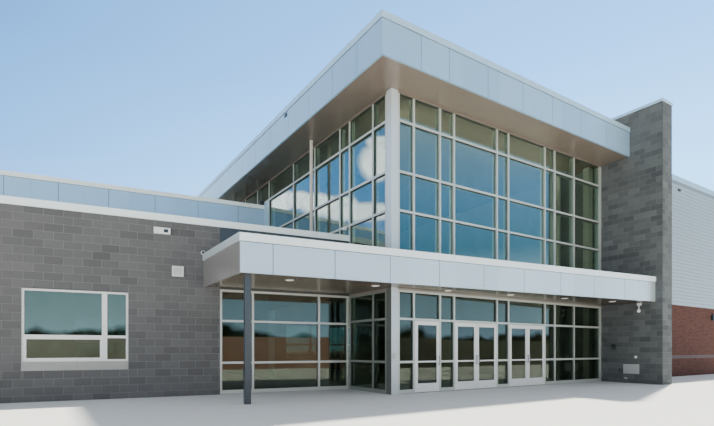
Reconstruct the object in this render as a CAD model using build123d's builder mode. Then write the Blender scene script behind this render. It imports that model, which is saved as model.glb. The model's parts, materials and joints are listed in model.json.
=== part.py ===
from build123d import *
from math import ceil, cos, radians, sin, tan
import os

# School building with a glazed entrance hall, in millimetres
# The origin is on the ground at the centre of the hall's corner column,
# +X runs along the hall front and +Y into the building.

os.makedirs("parts", exist_ok=True)

# Setting out of the plan
column = 236
face = -column / 2
skew = 6.9
fin_left = 10677
fin_right = 11394
fin_front = 2302
fin_back = 620
hall_depth = 16500
wing_setback = 2258
wing_length = 14400
wing_depth = 13400
band_setback = 7170
gym_right = 23500

# Levels
floor_top = 15
soffit_level = 3068
canopy_coping_level = 3796
canopy_top = 3985
roof_level = 8750
roof_coping_level = 9678
roof_top = 9852
fin_coping_level = 10399
fin_top = 10500
wing_roof_level = 4300
wing_roof_top = 4550
wing_coping_level = 4798
wing_top = 4984
band_coping_level = 7610
band_top = 7783
gym_base_top = 3420
gym_coping_level = 9340
gym_top = 9590

# Walls, roofs and their edges
wall = 300
gym_wall = 350
board = 50
fascia = 60
deck = 200
deck_drop = 180
coping_lip = 25
coping_width = 240
roof_overhang = 1128
roof_side_overhang = 1145

# Glazing bars, panes and how deep a pane sits in its bars
bar = 65
bar_depth = 200
cap = 60
glass = 26
bite = 12
pane_slack = 2
sill_bar = 105
end_jamb = 137

# Mullion centres along the hall front and side, and rail centres up them
front_mullions = [840, 1877, 2469, 4449, 5027, 7024, 7610, 8825]
side_mullions = [936, 2258, 2867, 4650, 6448]
side_end_mullion = 8934
clerestory_mullions = [10294, 11932, 13570, 15208]
lower_rails = [927, 2180]
lower_head = 3020
upper_sill = 3968
upper_rails = [5312, 6439, 7906]
door_bays = [1, 3, 5]
door_rows = 2

# Glazed screen of the wing, along the wing from the inside corner
screen_left = 4100
screen_mullions = [3142, 1047]
screen_rails = [907, 2115]

# Windows of the block walls
window_width = 2351
window_low = 982
window_high = 2797
window_frame = 55
window_bar = 125
window_rail = 70
window_sash = 42
window_cap = 22
window_mullion = 1794
window_transom = 1623
window_depth = 110
window_reveal = 40
window_right = 6470
window_pitch = 4200
sill_height = 215
sill_proud = 12
upper_window_low = 5200
side_window_starts = [3200, 8300]
back_window_starts = [1500, 5700, 9900]
hall_window_starts = [1100, 4163, 7226]

# Doors
door_gap = 8
door_thick = 45
door_stile = 105
door_top_rail = 120
door_bottom_rail = 255
door_mid_rail = 45
door_glass = 12
door_undercut = 10
pull_height = 260
pull_level = 965
pull_reach = 70
pull_radius = 12
pull_inset = 50
standoff = 16
seat = 0.3

# Canopy, posts and lights
canopy_left = 4521
canopy_front = 218
canopy_column = 146
canopy_column_inset = 268
light_radius = 95
light_drop = 8
light_inset = 700
light_start = 1423
light_pitch = 2490
light_count = 6
post_radius = 57
post_x = -300
post_y = 4328
inner_column_radius = 150
inner_column_x = 10060
inner_column_y = 1600

# Upright joints between the facing panels, from each face's corner
panel_joint = 16
panel_joint_depth = 14
roof_front_joints = [1293, 2310, 3879, 5481, 6975, 8575, 10175]
roof_side_joints = [1166, 2487, 3998]
roof_side_joint_start = 5568
roof_side_joint_pitch = 1560
canopy_joint_start = 787
canopy_joint_pitch = 1599
upper_joint_start = 1187
upper_joint_pitch = 1688

# Right wing
band_level = 860
band_height = 150
band_proud = 12
siding_proud = 30


def finish(piece, label):
    """Label a finished piece and write its file."""
    piece.part.label = label
    export_step(piece.part, f"parts/{label}.step")


class Elevation:
    """A wall's outer face: stations run along it, heights up it, depths into the building."""

    def __init__(self, corner, along, inward):
        self.corner = Vector(*corner)
        self.along = Vector(*along)
        self.inward = Vector(*inward)

    def plane(self, depth=0.0):
        """Upright drawing plane at a depth behind the outer face, x along it and y up."""
        return Plane(
            origin=self.corner + self.inward * depth,
            x_dir=self.along,
            z_dir=self.along.cross(Vector(0, 0, 1)),
        )


def blocks(elevation, rectangles, depth, thickness, mode=Mode.ADD):
    """Extrude upright rectangles, each (left, right, low, high), from a depth inwards."""
    with BuildSketch(elevation.plane(depth)) as drawing:
        for left, right, low, high in rectangles:
            with Locations(((left + right) / 2, (low + high) / 2)):
                Rectangle(right - left, high - low)
    extrude(drawing.sketch, amount=thickness, dir=elevation.inward, mode=mode)


def slab(outline, low, high, mode=Mode.ADD):
    """Extrude a plan outline between two levels."""
    with BuildSketch(Plane.XY.offset(low)) as plan:
        with BuildLine():
            Polyline(*outline, close=True)
        make_face()
    extrude(plan.sketch, amount=high - low, mode=mode)


def members(centres, width=bar):
    """Spans of bars of one width, from their centre lines."""
    return [(centre - width / 2, centre + width / 2) for centre in centres]


def between(spans):
    """Clear spans between neighbouring bars."""
    return [(a[1], b[0]) for a, b in zip(spans, spans[1:])]


def spaced(start, end, pitch):
    """Stations at one pitch, from a start to short of an end."""
    return [start + number * pitch for number in range(ceil((end - start) / pitch))]


def grown(cells, amount):
    """Outlines (left, right, low, high) grown by an amount on every side."""
    return [(a - amount, b + amount, c - amount, d + amount) for a, b, c, d in cells]


def cut_joints(elevation, stations, low, high):
    """Cut the joints between facing panels into the outer face, centred on their stations."""
    spans = [(*span, low, high) for span in members(stations, panel_joint)]
    blocks(elevation, spans, 0, panel_joint_depth, Mode.SUBTRACT)


class Glazing:
    """Bars and panes of one glazed wall, from the spans of its uprights and of its rails."""

    def __init__(self, elevation, uprights, rails, door_bays=(), shared=0):
        self.elevation = elevation
        self.own_uprights = uprights[shared:]
        self.bottom = rails[0][0]
        self.top = rails[-1][1]
        bays = between(uprights)
        rows = between(rails)
        self.door_bays = [bays[i] for i in door_bays]
        self.rail_cells = []
        self.pane_cells = []
        self.columns = []
        for number, bay in enumerate(bays):
            first = door_rows if number in door_bays else 0
            self.rail_cells += [(*bay, *rail) for rail in rails[first:]]
            self.pane_cells += [(*bay, *row) for row in rows[first:]]
            self.columns.append((*bay, rows[first][0], rows[-1][1]))

    def add_uprights(self):
        """Upright bars, each with a groove in its sides from the lowest pane to the highest."""
        spans = [(*span, self.bottom, self.top) for span in self.own_uprights]
        blocks(self.elevation, spans, 0, bar_depth)
        grooves = grown(self.columns, bite + pane_slack)
        blocks(self.elevation, grooves, cap, glass, Mode.SUBTRACT)

    def add_rails(self):
        """Rails between the uprights, grooved along the edges that hold a pane."""
        blocks(self.elevation, self.rail_cells, 0, bar_depth)
        grooves = grown(self.pane_cells, bite + pane_slack)
        blocks(self.elevation, grooves, cap, glass, Mode.SUBTRACT)

    def add_panes(self):
        """Panes of double glazing, seated in the grooves."""
        blocks(self.elevation, grown(self.pane_cells, bite), cap, glass)


# Elevations of the hall and of the skewed wing
wing_along = (cos(radians(skew)), -sin(radians(skew)), 0)
wing_inward = (sin(radians(skew)), cos(radians(skew)), 0)
hall_front = Elevation((face, face, 0), (1, 0, 0), (0, 1, 0))
hall_side = Elevation((face, face, 0), (0, 1, 0), (1, 0, 0))
hall_back = Elevation((face, face + hall_depth, 0), (1, 0, 0), (0, -1, 0))
wing_front = Elevation((face, face + wing_setback, 0), wing_along, wing_inward)


def wing_point(x, y):
    """Plan point of the wing: x along its front from the inside corner, y into it."""
    spot = wing_front.corner + wing_front.along * x + wing_front.inward * y
    return (spot.X, spot.Y)


def wing_right(y):
    """Where the hall's side face cuts the wing, at a depth y."""
    return -y * tan(radians(skew))


# Spans of the glazed walls
jamb_front = (column, column + bar)
jamb_fin = (fin_left - end_jamb, fin_left)
front_uprights = [jamb_front, *members(front_mullions), jamb_fin]
lower_levels = [(floor_top, floor_top + sill_bar), *members(lower_rails), (lower_head - bar, lower_head)]
upper_levels = [(upper_sill, upper_sill + bar), *members(upper_rails), (roof_level - bar, roof_level)]
side_uprights = [jamb_front, *members([*side_mullions, side_end_mullion])]
inside_corner = (wing_setback - bar, wing_setback)
clerestory_levels = upper_levels[-2:]
clerestory_uprights = members([side_end_mullion, *clerestory_mullions])
clerestory_uprights.append((hall_depth - wall - bar, hall_depth - wall))

lower_front = Glazing(hall_front, front_uprights, lower_levels, door_bays)
lower_side = Glazing(hall_side, [jamb_front, *members(side_mullions[:1]), inside_corner], lower_levels)
upper_front = Glazing(hall_front, front_uprights, upper_levels)
upper_side = Glazing(hall_side, side_uprights, upper_levels)
clerestory = Glazing(hall_side, clerestory_uprights, clerestory_levels, shared=1)

corner_slack = bar_depth * tan(radians(skew)) + pane_slack
screen_uprights = [
    (-screen_left, -screen_left + bar),
    *members([-centre for centre in screen_mullions]),
    (-corner_slack - bar, -corner_slack),
]
screen_levels = [lower_levels[0], *members(screen_rails), lower_levels[-1]]
wing_screen = Glazing(wing_front, screen_uprights, screen_levels)
lower_screens = [lower_front, lower_side, wing_screen]

# Hall glazing
with BuildPart() as lower_mullions:
    for screen in lower_screens:
        screen.add_uprights()
finish(lower_mullions, "lower_mullions")

with BuildPart() as lower_bars:
    for screen in lower_screens:
        screen.add_rails()
finish(lower_bars, "lower_rails")

with BuildPart() as lower_panes:
    for screen in lower_screens:
        screen.add_panes()
finish(lower_panes, "lower_glass")

with BuildPart() as upper_mullions:
    upper_front.add_uprights()
    upper_side.add_uprights()
    clerestory.add_uprights()
finish(upper_mullions, "upper_mullions")

with BuildPart() as upper_bars:
    upper_front.add_rails()
    upper_side.add_rails()
    clerestory.add_rails()
finish(upper_bars, "upper_rails")

with BuildPart() as upper_panes:
    upper_front.add_panes()
    upper_side.add_panes()
    clerestory.add_panes()
finish(upper_panes, "upper_glass")

with BuildPart() as corner_post:
    with BuildSketch():
        Rectangle(column, column)
    extrude(amount=roof_level)
finish(corner_post, "corner_column")

side_wall_start = side_end_mullion + bar / 2
with BuildPart() as beams:
    blocks(hall_front, [(column, fin_left, lower_head, upper_sill)], 0, bar_depth)
    blocks(hall_side, [(column, side_wall_start, lower_head, upper_sill)], 0, bar_depth)
finish(beams, "edge_beams")


def hall_point(x, y):
    """Plan point measured from the outer corner of the hall's two glass walls."""
    return (face + x, face + y)


def hall_outline(*points):
    """Plan outline from points measured from the hall's outer corner."""
    return [hall_point(x, y) for x, y in points]


def wing_outline(*points):
    """Plan outline from points of the wing."""
    return [wing_point(x, y) for x, y in points]


# Windows of the block walls, all of one kind
wing_left = Elevation((*wing_point(-wing_length, 0), 0), wing_inward, wing_along)
wing_back = Elevation(
    (*wing_point(-wing_length, wing_depth), 0), wing_along, tuple(-part for part in wing_inward)
)


class Window:
    """A window of four panes, the lower left one in an opening sash, by its left edge and foot."""

    def __init__(self, elevation, left, low):
        self.elevation = elevation
        self.left = left
        self.low = low
        self.right = left + window_width
        self.high = low + window_high - window_low
        upright = left + window_mullion
        rail = low + window_transom - window_low
        grid = Glazing(
            elevation,
            [
                (left, left + window_frame),
                *members([upright], window_bar),
                (self.right - window_frame, self.right),
            ],
            [
                (low, low + window_frame),
                *members([rail], window_rail),
                (self.high - window_frame, self.high),
            ],
        )
        opening, *fixed = grid.pane_cells
        self.cells = [*grown([opening], -window_sash), *fixed]

    def cut_opening(self):
        """Cut the window and its sill out of the wall."""
        opening = (self.left, self.right, self.low - sill_height, self.high)
        blocks(self.elevation, [opening], 0, wall, Mode.SUBTRACT)

    def add_frame(self):
        """Frame, mullion, transom and sash in one."""
        outer = (self.left, self.right, self.low, self.high)
        blocks(self.elevation, [outer], window_reveal, window_depth)
        blocks(self.elevation, self.cells, window_reveal, window_depth, Mode.SUBTRACT)

    def add_panes(self):
        """The four panes, edge to edge with the frame."""
        blocks(self.elevation, self.cells, window_reveal + window_cap, glass)

    def add_sill(self):
        """Sill of two stones, through the wall and a little proud of it."""
        middle = (self.left + self.right) / 2
        halves = [
            (self.left, middle - pane_slack, self.low - sill_height, self.low),
            (middle + pane_slack, self.right, self.low - sill_height, self.low),
        ]
        blocks(self.elevation, halves, -sill_proud, wall + sill_proud)


front_window_left = -window_right - window_width
front_windows = [
    Window(wing_front, front_window_left, window_low),
    Window(wing_front, front_window_left - window_pitch, window_low),
]
left_windows = [Window(wing_left, start, window_low) for start in side_window_starts]
back_windows = [Window(wing_back, start, window_low) for start in back_window_starts]
upper_left_windows = [Window(wing_left, side_window_starts[-1], upper_window_low)]
upper_back_windows = [Window(wing_back, start, upper_window_low) for start in back_window_starts]
hall_back_windows = [
    Window(hall_back, start, low)
    for start in hall_window_starts
    for low in (window_low, upper_window_low)
]
windows = [
    *front_windows,
    *left_windows,
    *back_windows,
    *upper_left_windows,
    *upper_back_windows,
    *hall_back_windows,
]

with BuildPart() as window_frames:
    for window in windows:
        window.add_frame()
finish(window_frames, "window_frames")

with BuildPart() as window_panes:
    for window in windows:
        window.add_panes()
finish(window_panes, "window_glass")

with BuildPart() as window_sills:
    for window in windows:
        window.add_sill()
finish(window_sills, "window_sills")

# Hall floor, walls and inner column
with BuildPart() as hall_floor:
    slab(
        hall_outline(
            (column, 0),
            (fin_left, 0),
            (fin_left, hall_depth - wall),
            (wall, hall_depth - wall),
            (wall, side_wall_start),
            (0, side_wall_start),
            (0, column),
            (column, column),
        ),
        0,
        floor_top,
    )
finish(hall_floor, "hall_floor")

with BuildPart() as hall_side_wall:
    rear_wall = (side_wall_start, hall_depth - wall, 0, clerestory_levels[0][0])
    blocks(hall_side, [rear_wall], 0, wall)
finish(hall_side_wall, "hall_side_wall")

with BuildPart() as hall_back_wall:
    blocks(hall_back, [(0, fin_left, 0, roof_level)], 0, wall)
    for window in hall_back_windows:
        window.cut_opening()
finish(hall_back_wall, "hall_back_wall")

with BuildPart() as party_wall:
    slab(
        hall_outline(
            (fin_left, fin_back),
            (fin_left + wall, fin_back),
            (fin_left + wall, hall_depth),
            (fin_left, hall_depth),
        ),
        0,
        roof_coping_level,
    )
finish(party_wall, "party_wall")

with BuildPart() as inner_column:
    with BuildSketch(Plane.XY.offset(floor_top)):
        with Locations(hall_point(inner_column_x, inner_column_y)):
            Circle(inner_column_radius)
    extrude(amount=roof_level - floor_top)
finish(inner_column, "inner_column")

# Hall roof
roof_left = -roof_side_overhang
roof_front = -roof_overhang
roof_inner_left = roof_left + fascia
roof_inner_front = roof_front + fascia
roof_inner_back = hall_depth - fascia
roof_inside = hall_outline(
    (roof_inner_left, roof_inner_front),
    (fin_left, roof_inner_front),
    (fin_left, roof_inner_back),
    (roof_inner_left, roof_inner_back),
)

with BuildPart() as roof_soffit:
    slab(roof_inside, roof_level, roof_level + board)
finish(roof_soffit, "roof_soffit")

with BuildPart() as roof_fascia:
    slab(
        hall_outline(
            (fin_left, roof_front),
            (roof_left, roof_front),
            (roof_left, hall_depth),
            (fin_left, hall_depth),
            (fin_left, roof_inner_back),
            (roof_inner_left, roof_inner_back),
            (roof_inner_left, roof_inner_front),
            (fin_left, roof_inner_front),
        ),
        roof_level,
        roof_coping_level,
    )
    roof_corner = (*hall_point(roof_left, roof_front), 0)
    roof_front_face = Elevation(roof_corner, hall_front.along, hall_front.inward)
    roof_side_face = Elevation(roof_corner, hall_side.along, hall_side.inward)
    rear_joints = spaced(roof_side_joint_start, hall_depth + roof_overhang, roof_side_joint_pitch)
    cut_joints(roof_front_face, roof_front_joints, roof_level, roof_coping_level)
    cut_joints(roof_side_face, roof_side_joints + rear_joints, roof_level, roof_coping_level)
finish(roof_fascia, "roof_fascia")

with BuildPart() as roof_deck:
    deck_top = roof_coping_level - deck_drop
    slab(roof_inside, deck_top - deck, deck_top)
finish(roof_deck, "roof_deck")

with BuildPart() as roof_coping:
    outer_left = roof_left - coping_lip
    outer_front = roof_front - coping_lip
    outer_back = hall_depth + coping_lip
    slab(
        hall_outline(
            (fin_left, outer_front),
            (outer_left, outer_front),
            (outer_left, outer_back),
            (fin_left + wall + coping_lip, outer_back),
            (fin_left + wall + coping_lip, fin_back),
            (fin_left, fin_back),
            (fin_left, outer_back - coping_width),
            (outer_left + coping_width, outer_back - coping_width),
            (outer_left + coping_width, outer_front + coping_width),
            (fin_left, outer_front + coping_width),
        ),
        roof_coping_level,
        roof_top,
    )
finish(roof_coping, "roof_coping")

with BuildPart() as roof_post:
    with BuildSketch(Plane.XY.offset(wing_roof_top)):
        with Locations(hall_point(post_x, post_y)):
            Circle(post_radius)
    extrude(amount=roof_level - wing_roof_top)
finish(roof_post, "roof_post")

# Fin wall
with BuildPart() as fin_wall:
    slab(
        hall_outline(
            (fin_left, -fin_front),
            (fin_right, -fin_front),
            (fin_right, fin_back),
            (fin_left, fin_back),
        ),
        0,
        fin_coping_level,
    )
finish(fin_wall, "fin_wall")

with BuildPart() as fin_coping:
    slab(
        hall_outline(
            (fin_left - coping_lip, -fin_front - coping_lip),
            (fin_right + coping_lip, -fin_front - coping_lip),
            (fin_right + coping_lip, fin_back + coping_lip),
            (fin_left - coping_lip, fin_back + coping_lip),
        ),
        fin_coping_level,
        fin_top,
    )
finish(fin_coping, "fin_coping")

# Canopy, with its front skewed like the wing
slope = tan(radians(skew))
across = 1 / cos(radians(skew))


def canopy_face(x, inset=0.0):
    """How far the canopy's front reaches at a distance along the hall, less an inset."""
    return -canopy_front - (x + canopy_left) * slope + inset * across


def canopy_plan(inset):
    """Outline of the canopy with its front and left faces drawn in by an inset."""
    left = -canopy_left + inset
    return hall_outline(
        (left, canopy_face(left, inset)),
        (fin_left, canopy_face(fin_left, inset)),
        (fin_left, 0),
        (0, 0),
        (0, wing_setback),
        (left, wing_setback - left * slope),
    )


def canopy_edge(outer, inner):
    """Outline of an edge strip along the canopy's front and left, between two insets."""
    left = -canopy_left + outer
    inside = -canopy_left + inner
    return hall_outline(
        (left, canopy_face(left, outer)),
        (fin_left, canopy_face(fin_left, outer)),
        (fin_left, canopy_face(fin_left, inner)),
        (inside, canopy_face(inside, inner)),
        (inside, wing_setback - inside * slope),
        (left, wing_setback - left * slope),
    )


light_spots = []
for number in range(light_count):
    along = light_start + number * light_pitch
    spot_x = -canopy_left + along * cos(radians(skew)) + light_inset * sin(radians(skew))
    light_spots.append(hall_point(spot_x, canopy_face(spot_x, light_inset)))

with BuildPart() as canopy_soffit:
    slab(canopy_plan(fascia), soffit_level, soffit_level + board)
finish(canopy_soffit, "canopy_soffit")

with BuildPart() as canopy_fascia:
    slab(canopy_edge(0, fascia), soffit_level, canopy_coping_level)
    canopy_corner = (*hall_point(-canopy_left, canopy_face(-canopy_left)), 0)
    canopy_front_face = Elevation(canopy_corner, wing_front.along, wing_front.inward)
    canopy_joints = spaced(canopy_joint_start, fin_left + canopy_left - fascia, canopy_joint_pitch)
    cut_joints(canopy_front_face, canopy_joints, soffit_level, canopy_coping_level)
finish(canopy_fascia, "canopy_fascia")

with BuildPart() as canopy_deck:
    canopy_deck_top = canopy_coping_level - deck_drop
    slab(canopy_plan(fascia), canopy_deck_top - deck, canopy_deck_top)
finish(canopy_deck, "canopy_deck")

with BuildPart() as canopy_coping:
    slab(canopy_edge(-coping_lip, coping_width - coping_lip), canopy_coping_level, canopy_top)
finish(canopy_coping, "canopy_coping")

with BuildPart() as canopy_post:
    stand_x = -canopy_left + canopy_column_inset
    stand = hall_point(stand_x, canopy_face(stand_x, canopy_column_inset))
    with BuildSketch():
        with Locations(stand):
            Rectangle(canopy_column, canopy_column, rotation=-skew)
    extrude(amount=soffit_level)
finish(canopy_post, "canopy_column")

with BuildPart() as canopy_lights:
    with BuildSketch(Plane.XY.offset(soffit_level - light_drop)):
        with Locations(*light_spots):
            Circle(light_radius)
    extrude(amount=light_drop)
finish(canopy_lights, "canopy_lights")

# Wing of one storey, with the set-back storey on its rear part
rear = wing_depth - wall
with BuildPart() as wing_floor:
    slab(
        wing_outline(
            (-wing_length + wall, wall),
            (-screen_left, wall),
            (-screen_left, 0),
            (0, 0),
            (wing_right(rear), rear),
            (-wing_length + wall, rear),
        ),
        0,
        floor_top,
    )
finish(wing_floor, "wing_floor")

with BuildPart() as wing_front_wall:
    blocks(wing_front, [(-wing_length, -screen_left, 0, wing_coping_level)], 0, wall)
    for window in front_windows:
        window.cut_opening()
finish(wing_front_wall, "wing_front_wall")

with BuildPart() as wing_over_wall:
    slab(
        wing_outline((-screen_left, 0), (0, 0), (wing_right(wall), wall), (-screen_left, wall)),
        lower_head,
        wing_coping_level,
    )
finish(wing_over_wall, "wing_over_wall")

with BuildPart() as wing_left_wall:
    stretches = [
        (wall, wing_depth, 0, wing_roof_top),
        (wall, band_setback, wing_roof_top, wing_coping_level),
    ]
    for stretch in stretches:
        blocks(wing_left, [stretch], 0, wall)
    for window in left_windows:
        window.cut_opening()
finish(wing_left_wall, "wing_left_wall")

with BuildPart() as wing_back_wall:
    slab(
        wing_outline(
            (-wing_length + wall, rear),
            (wing_right(rear), rear),
            (wing_right(wing_depth), wing_depth),
            (-wing_length + wall, wing_depth),
        ),
        0,
        wing_roof_top,
    )
    for window in back_windows:
        window.cut_opening()
finish(wing_back_wall, "wing_back_wall")

with BuildPart() as wing_roof:
    slab(
        wing_outline(
            (-wing_length + wall, wall),
            (wing_right(wall), wall),
            (wing_right(rear), rear),
            (-wing_length + wall, rear),
        ),
        wing_roof_level,
        wing_roof_top,
    )
finish(wing_roof, "wing_roof")

with BuildPart() as wing_coping:
    outer_x = -wing_length - coping_lip
    inner_x = outer_x + coping_width + wall - fascia
    inner_y = -coping_lip + coping_width + wall - fascia
    slab(
        wing_outline(
            (outer_x, -coping_lip),
            (wing_right(-coping_lip), -coping_lip),
            (wing_right(inner_y), inner_y),
            (inner_x, inner_y),
            (inner_x, band_setback),
            (outer_x, band_setback),
        ),
        wing_coping_level,
        wing_top,
    )
finish(wing_coping, "wing_coping")

# Set-back upper storey
with BuildPart() as upper_front_wall:
    slab(
        wing_outline(
            (-wing_length, band_setback),
            (wing_right(band_setback), band_setback),
            (wing_right(band_setback + wall), band_setback + wall),
            (-wing_length, band_setback + wall),
        ),
        wing_roof_top,
        band_coping_level,
    )
    upper_face = Elevation((*wing_point(0, band_setback), 0), wing_front.along, wing_front.inward)
    upper_joints = spaced(upper_joint_start, wing_length, upper_joint_pitch)
    cut_joints(upper_face, [-joint for joint in upper_joints], wing_roof_top, band_coping_level)
finish(upper_front_wall, "upper_front_wall")

with BuildPart() as upper_left_wall:
    blocks(
        wing_left, [(band_setback + wall, wing_depth, wing_roof_top, band_coping_level)], 0, wall
    )
    left_joints = spaced(band_setback + upper_joint_pitch, wing_depth, upper_joint_pitch)
    cut_joints(wing_left, left_joints, wing_roof_top, band_coping_level)
    for window in upper_left_windows:
        window.cut_opening()
finish(upper_left_wall, "upper_left_wall")

with BuildPart() as upper_back_wall:
    slab(
        wing_outline(
            (-wing_length + wall, rear),
            (wing_right(rear), rear),
            (wing_right(wing_depth), wing_depth),
            (-wing_length + wall, wing_depth),
        ),
        wing_roof_top,
        band_coping_level,
    )
    cut_joints(wing_back, upper_joints, wing_roof_top, band_coping_level)
    for window in upper_back_windows:
        window.cut_opening()
finish(upper_back_wall, "upper_back_wall")

with BuildPart() as upper_roof:
    upper_roof_top = band_coping_level - deck_drop
    slab(
        wing_outline(
            (-wing_length + wall, band_setback + wall),
            (wing_right(band_setback + wall), band_setback + wall),
            (wing_right(rear), rear),
            (-wing_length + wall, rear),
        ),
        upper_roof_top - deck,
        upper_roof_top,
    )
finish(upper_roof, "upper_roof")

with BuildPart() as upper_coping:
    outer_front_y = band_setback - coping_lip
    inner_front_y = band_setback + wall + coping_lip
    outer_back_y = wing_depth + coping_lip
    inner_back_y = rear - coping_lip
    slab(
        wing_outline(
            (outer_x, outer_front_y),
            (wing_right(outer_front_y), outer_front_y),
            (wing_right(inner_front_y), inner_front_y),
            (inner_x, inner_front_y),
            (inner_x, inner_back_y),
            (wing_right(inner_back_y), inner_back_y),
            (wing_right(outer_back_y), outer_back_y),
            (outer_x, outer_back_y),
        ),
        band_coping_level,
        band_top,
    )
finish(upper_coping, "upper_coping")

# Right wing, closed on its left by the fin and the party wall
gym_left = fin_left + wall


def gym_strip(outer, inner):
    """Outline of a strip round the right wing, from outside its face to inside it."""
    return hall_outline(
        (fin_right, -outer),
        (gym_right + outer, -outer),
        (gym_right + outer, hall_depth + outer),
        (gym_left, hall_depth + outer),
        (gym_left, hall_depth - inner),
        (gym_right - inner, hall_depth - inner),
        (gym_right - inner, inner),
        (fin_right, inner),
    )


with BuildPart() as gym_base:
    slab(gym_strip(0, gym_wall), 0, gym_base_top)
finish(gym_base, "gym_base")

with BuildPart() as gym_band:
    slab(gym_strip(band_proud, 0), band_level, band_level + band_height)
finish(gym_band, "gym_band")

with BuildPart() as gym_siding:
    slab(gym_strip(siding_proud, gym_wall), gym_base_top, gym_coping_level)
finish(gym_siding, "gym_siding")

with BuildPart() as gym_coping:
    slab(gym_strip(siding_proud + coping_lip, gym_wall + coping_lip), gym_coping_level, gym_top)
finish(gym_coping, "gym_coping")

with BuildPart() as gym_roof:
    gym_roof_top = gym_coping_level - deck_drop
    slab(
        hall_outline(
            (gym_left, fin_back),
            (fin_right, fin_back),
            (fin_right, gym_wall),
            (gym_right - gym_wall, gym_wall),
            (gym_right - gym_wall, hall_depth - gym_wall),
            (gym_left, hall_depth - gym_wall),
        ),
        gym_roof_top - deck,
        gym_roof_top,
    )
finish(gym_roof, "gym_roof")


class Leaf:
    """A glazed door leaf hung at one side of its bay, with a pull at the other."""

    def __init__(self, left, right, hung_left):
        self.left = left
        self.right = right
        self.low = floor_top + door_undercut
        self.high = lower_levels[door_rows][0] - door_gap
        self.hinge = left if hung_left else right
        self.pull = right - pull_inset if hung_left else left + pull_inset
        rail = (lower_rails[0] - door_mid_rail / 2, lower_rails[0] + door_mid_rail / 2)
        clear = (left + door_stile, right - door_stile)
        self.lights = [
            (*clear, self.low + door_bottom_rail, rail[0]),
            (*clear, rail[1], self.high - door_top_rail),
        ]

    def add_frame(self):
        """Stiles and rails with their glazing grooves, and the knuckle of a full-height hinge."""
        blocks(hall_front, [(self.left, self.right, self.low, self.high)], 0, door_thick)
        blocks(hall_front, self.lights, 0, door_thick, Mode.SUBTRACT)
        groove = (door_thick - door_glass) / 2
        blocks(hall_front, grown(self.lights, bite + pane_slack), groove, door_glass, Mode.SUBTRACT)
        with BuildSketch(Plane.XY.offset(self.low)) as knuckle:
            with Locations(hall_point(self.hinge, 0)):
                Circle(door_gap - seat)
        extrude(knuckle.sketch, amount=self.high - self.low)

    def add_pull(self):
        """Round upright bar on two square stand-offs from the stile."""
        foot = pull_level - pull_height / 2
        with BuildSketch(Plane.XY.offset(foot)) as grip:
            with Locations(hall_point(self.pull, -pull_reach)):
                Circle(pull_radius)
        extrude(grip.sketch, amount=pull_height)
        across = (self.pull - standoff / 2, self.pull + standoff / 2)
        ends = [(foot, foot + standoff), (foot + pull_height - standoff, foot + pull_height)]
        blocks(hall_front, [(*across, *end) for end in ends], -pull_reach, pull_reach)

    def add_glass(self):
        """The two panes."""
        groove = (door_thick - door_glass) / 2
        blocks(hall_front, grown(self.lights, bite), groove, door_glass)


# Door leaves, a single one and two pairs
single_bay, first_bay, second_bay = lower_front.door_bays
leaves = {"single_door": Leaf(single_bay[0] + door_gap, single_bay[1] - door_gap, True)}
for name, bay in (("first_pair", first_bay), ("second_pair", second_bay)):
    middle = (bay[0] + bay[1]) / 2
    leaves[name + "_left_door"] = Leaf(bay[0] + door_gap, middle - door_gap / 2, True)
    leaves[name + "_right_door"] = Leaf(middle + door_gap / 2, bay[1] - door_gap, False)

for name, leaf in leaves.items():
    with BuildPart() as door:
        leaf.add_frame()
        leaf.add_pull()
    finish(door, name)

    with BuildPart() as door_panes:
        leaf.add_glass()
    finish(door_panes, name + "_glass")
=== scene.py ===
"""Looks of the school building: finishes, masonry, siding, gaskets, fixtures, light and camera."""

from __future__ import annotations

import json
import logging
import math
from collections.abc import Iterable, Sequence
from dataclasses import dataclass, replace
from enum import Enum

import bpy
import numpy as np
from mathutils import Matrix, Vector

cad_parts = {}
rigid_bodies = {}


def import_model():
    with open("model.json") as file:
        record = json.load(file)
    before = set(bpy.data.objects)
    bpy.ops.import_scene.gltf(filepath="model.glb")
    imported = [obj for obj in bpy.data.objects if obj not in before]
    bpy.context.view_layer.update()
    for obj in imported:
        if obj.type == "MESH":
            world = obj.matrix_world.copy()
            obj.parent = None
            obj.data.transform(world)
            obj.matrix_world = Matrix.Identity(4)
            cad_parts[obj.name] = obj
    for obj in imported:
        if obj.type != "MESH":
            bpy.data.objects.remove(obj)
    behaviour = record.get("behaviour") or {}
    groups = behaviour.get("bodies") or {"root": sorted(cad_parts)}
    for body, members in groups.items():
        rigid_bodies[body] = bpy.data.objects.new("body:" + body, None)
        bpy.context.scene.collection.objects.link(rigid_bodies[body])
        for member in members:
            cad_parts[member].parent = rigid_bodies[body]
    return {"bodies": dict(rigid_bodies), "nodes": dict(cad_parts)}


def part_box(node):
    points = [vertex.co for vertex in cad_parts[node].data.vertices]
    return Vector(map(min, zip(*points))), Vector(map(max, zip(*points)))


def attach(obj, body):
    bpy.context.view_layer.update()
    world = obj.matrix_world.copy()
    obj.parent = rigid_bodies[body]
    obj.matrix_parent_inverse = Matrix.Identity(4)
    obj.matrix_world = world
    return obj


LOG = logging.getLogger("school")
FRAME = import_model()
NODES = FRAME["nodes"]
DOORS = [name for name in FRAME["bodies"] if name.endswith("_door")]
BUILDING = "building"
# One millimetre in metres
MM = 0.001
# X of the hall's left face, and Y of its front face
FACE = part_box("corner_column")[0].x
# How far the wing and the canopy are turned from the hall's front
SKEW = math.radians(6.9)
# How far a hole reaches past an edge that it cuts
PAST = 1.0
# Numbers of the axes
X, Y, Z = range(3)
Triple = tuple[float, float, float]
Colour = Triple
Spot = tuple[float, float]
Span = tuple[float, float, float, float]
Stops = Sequence[tuple[float, Colour]]


def opposite(way: Spot) -> Spot:
    """The other way in plan."""
    return (-way[0], -way[1])


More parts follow.
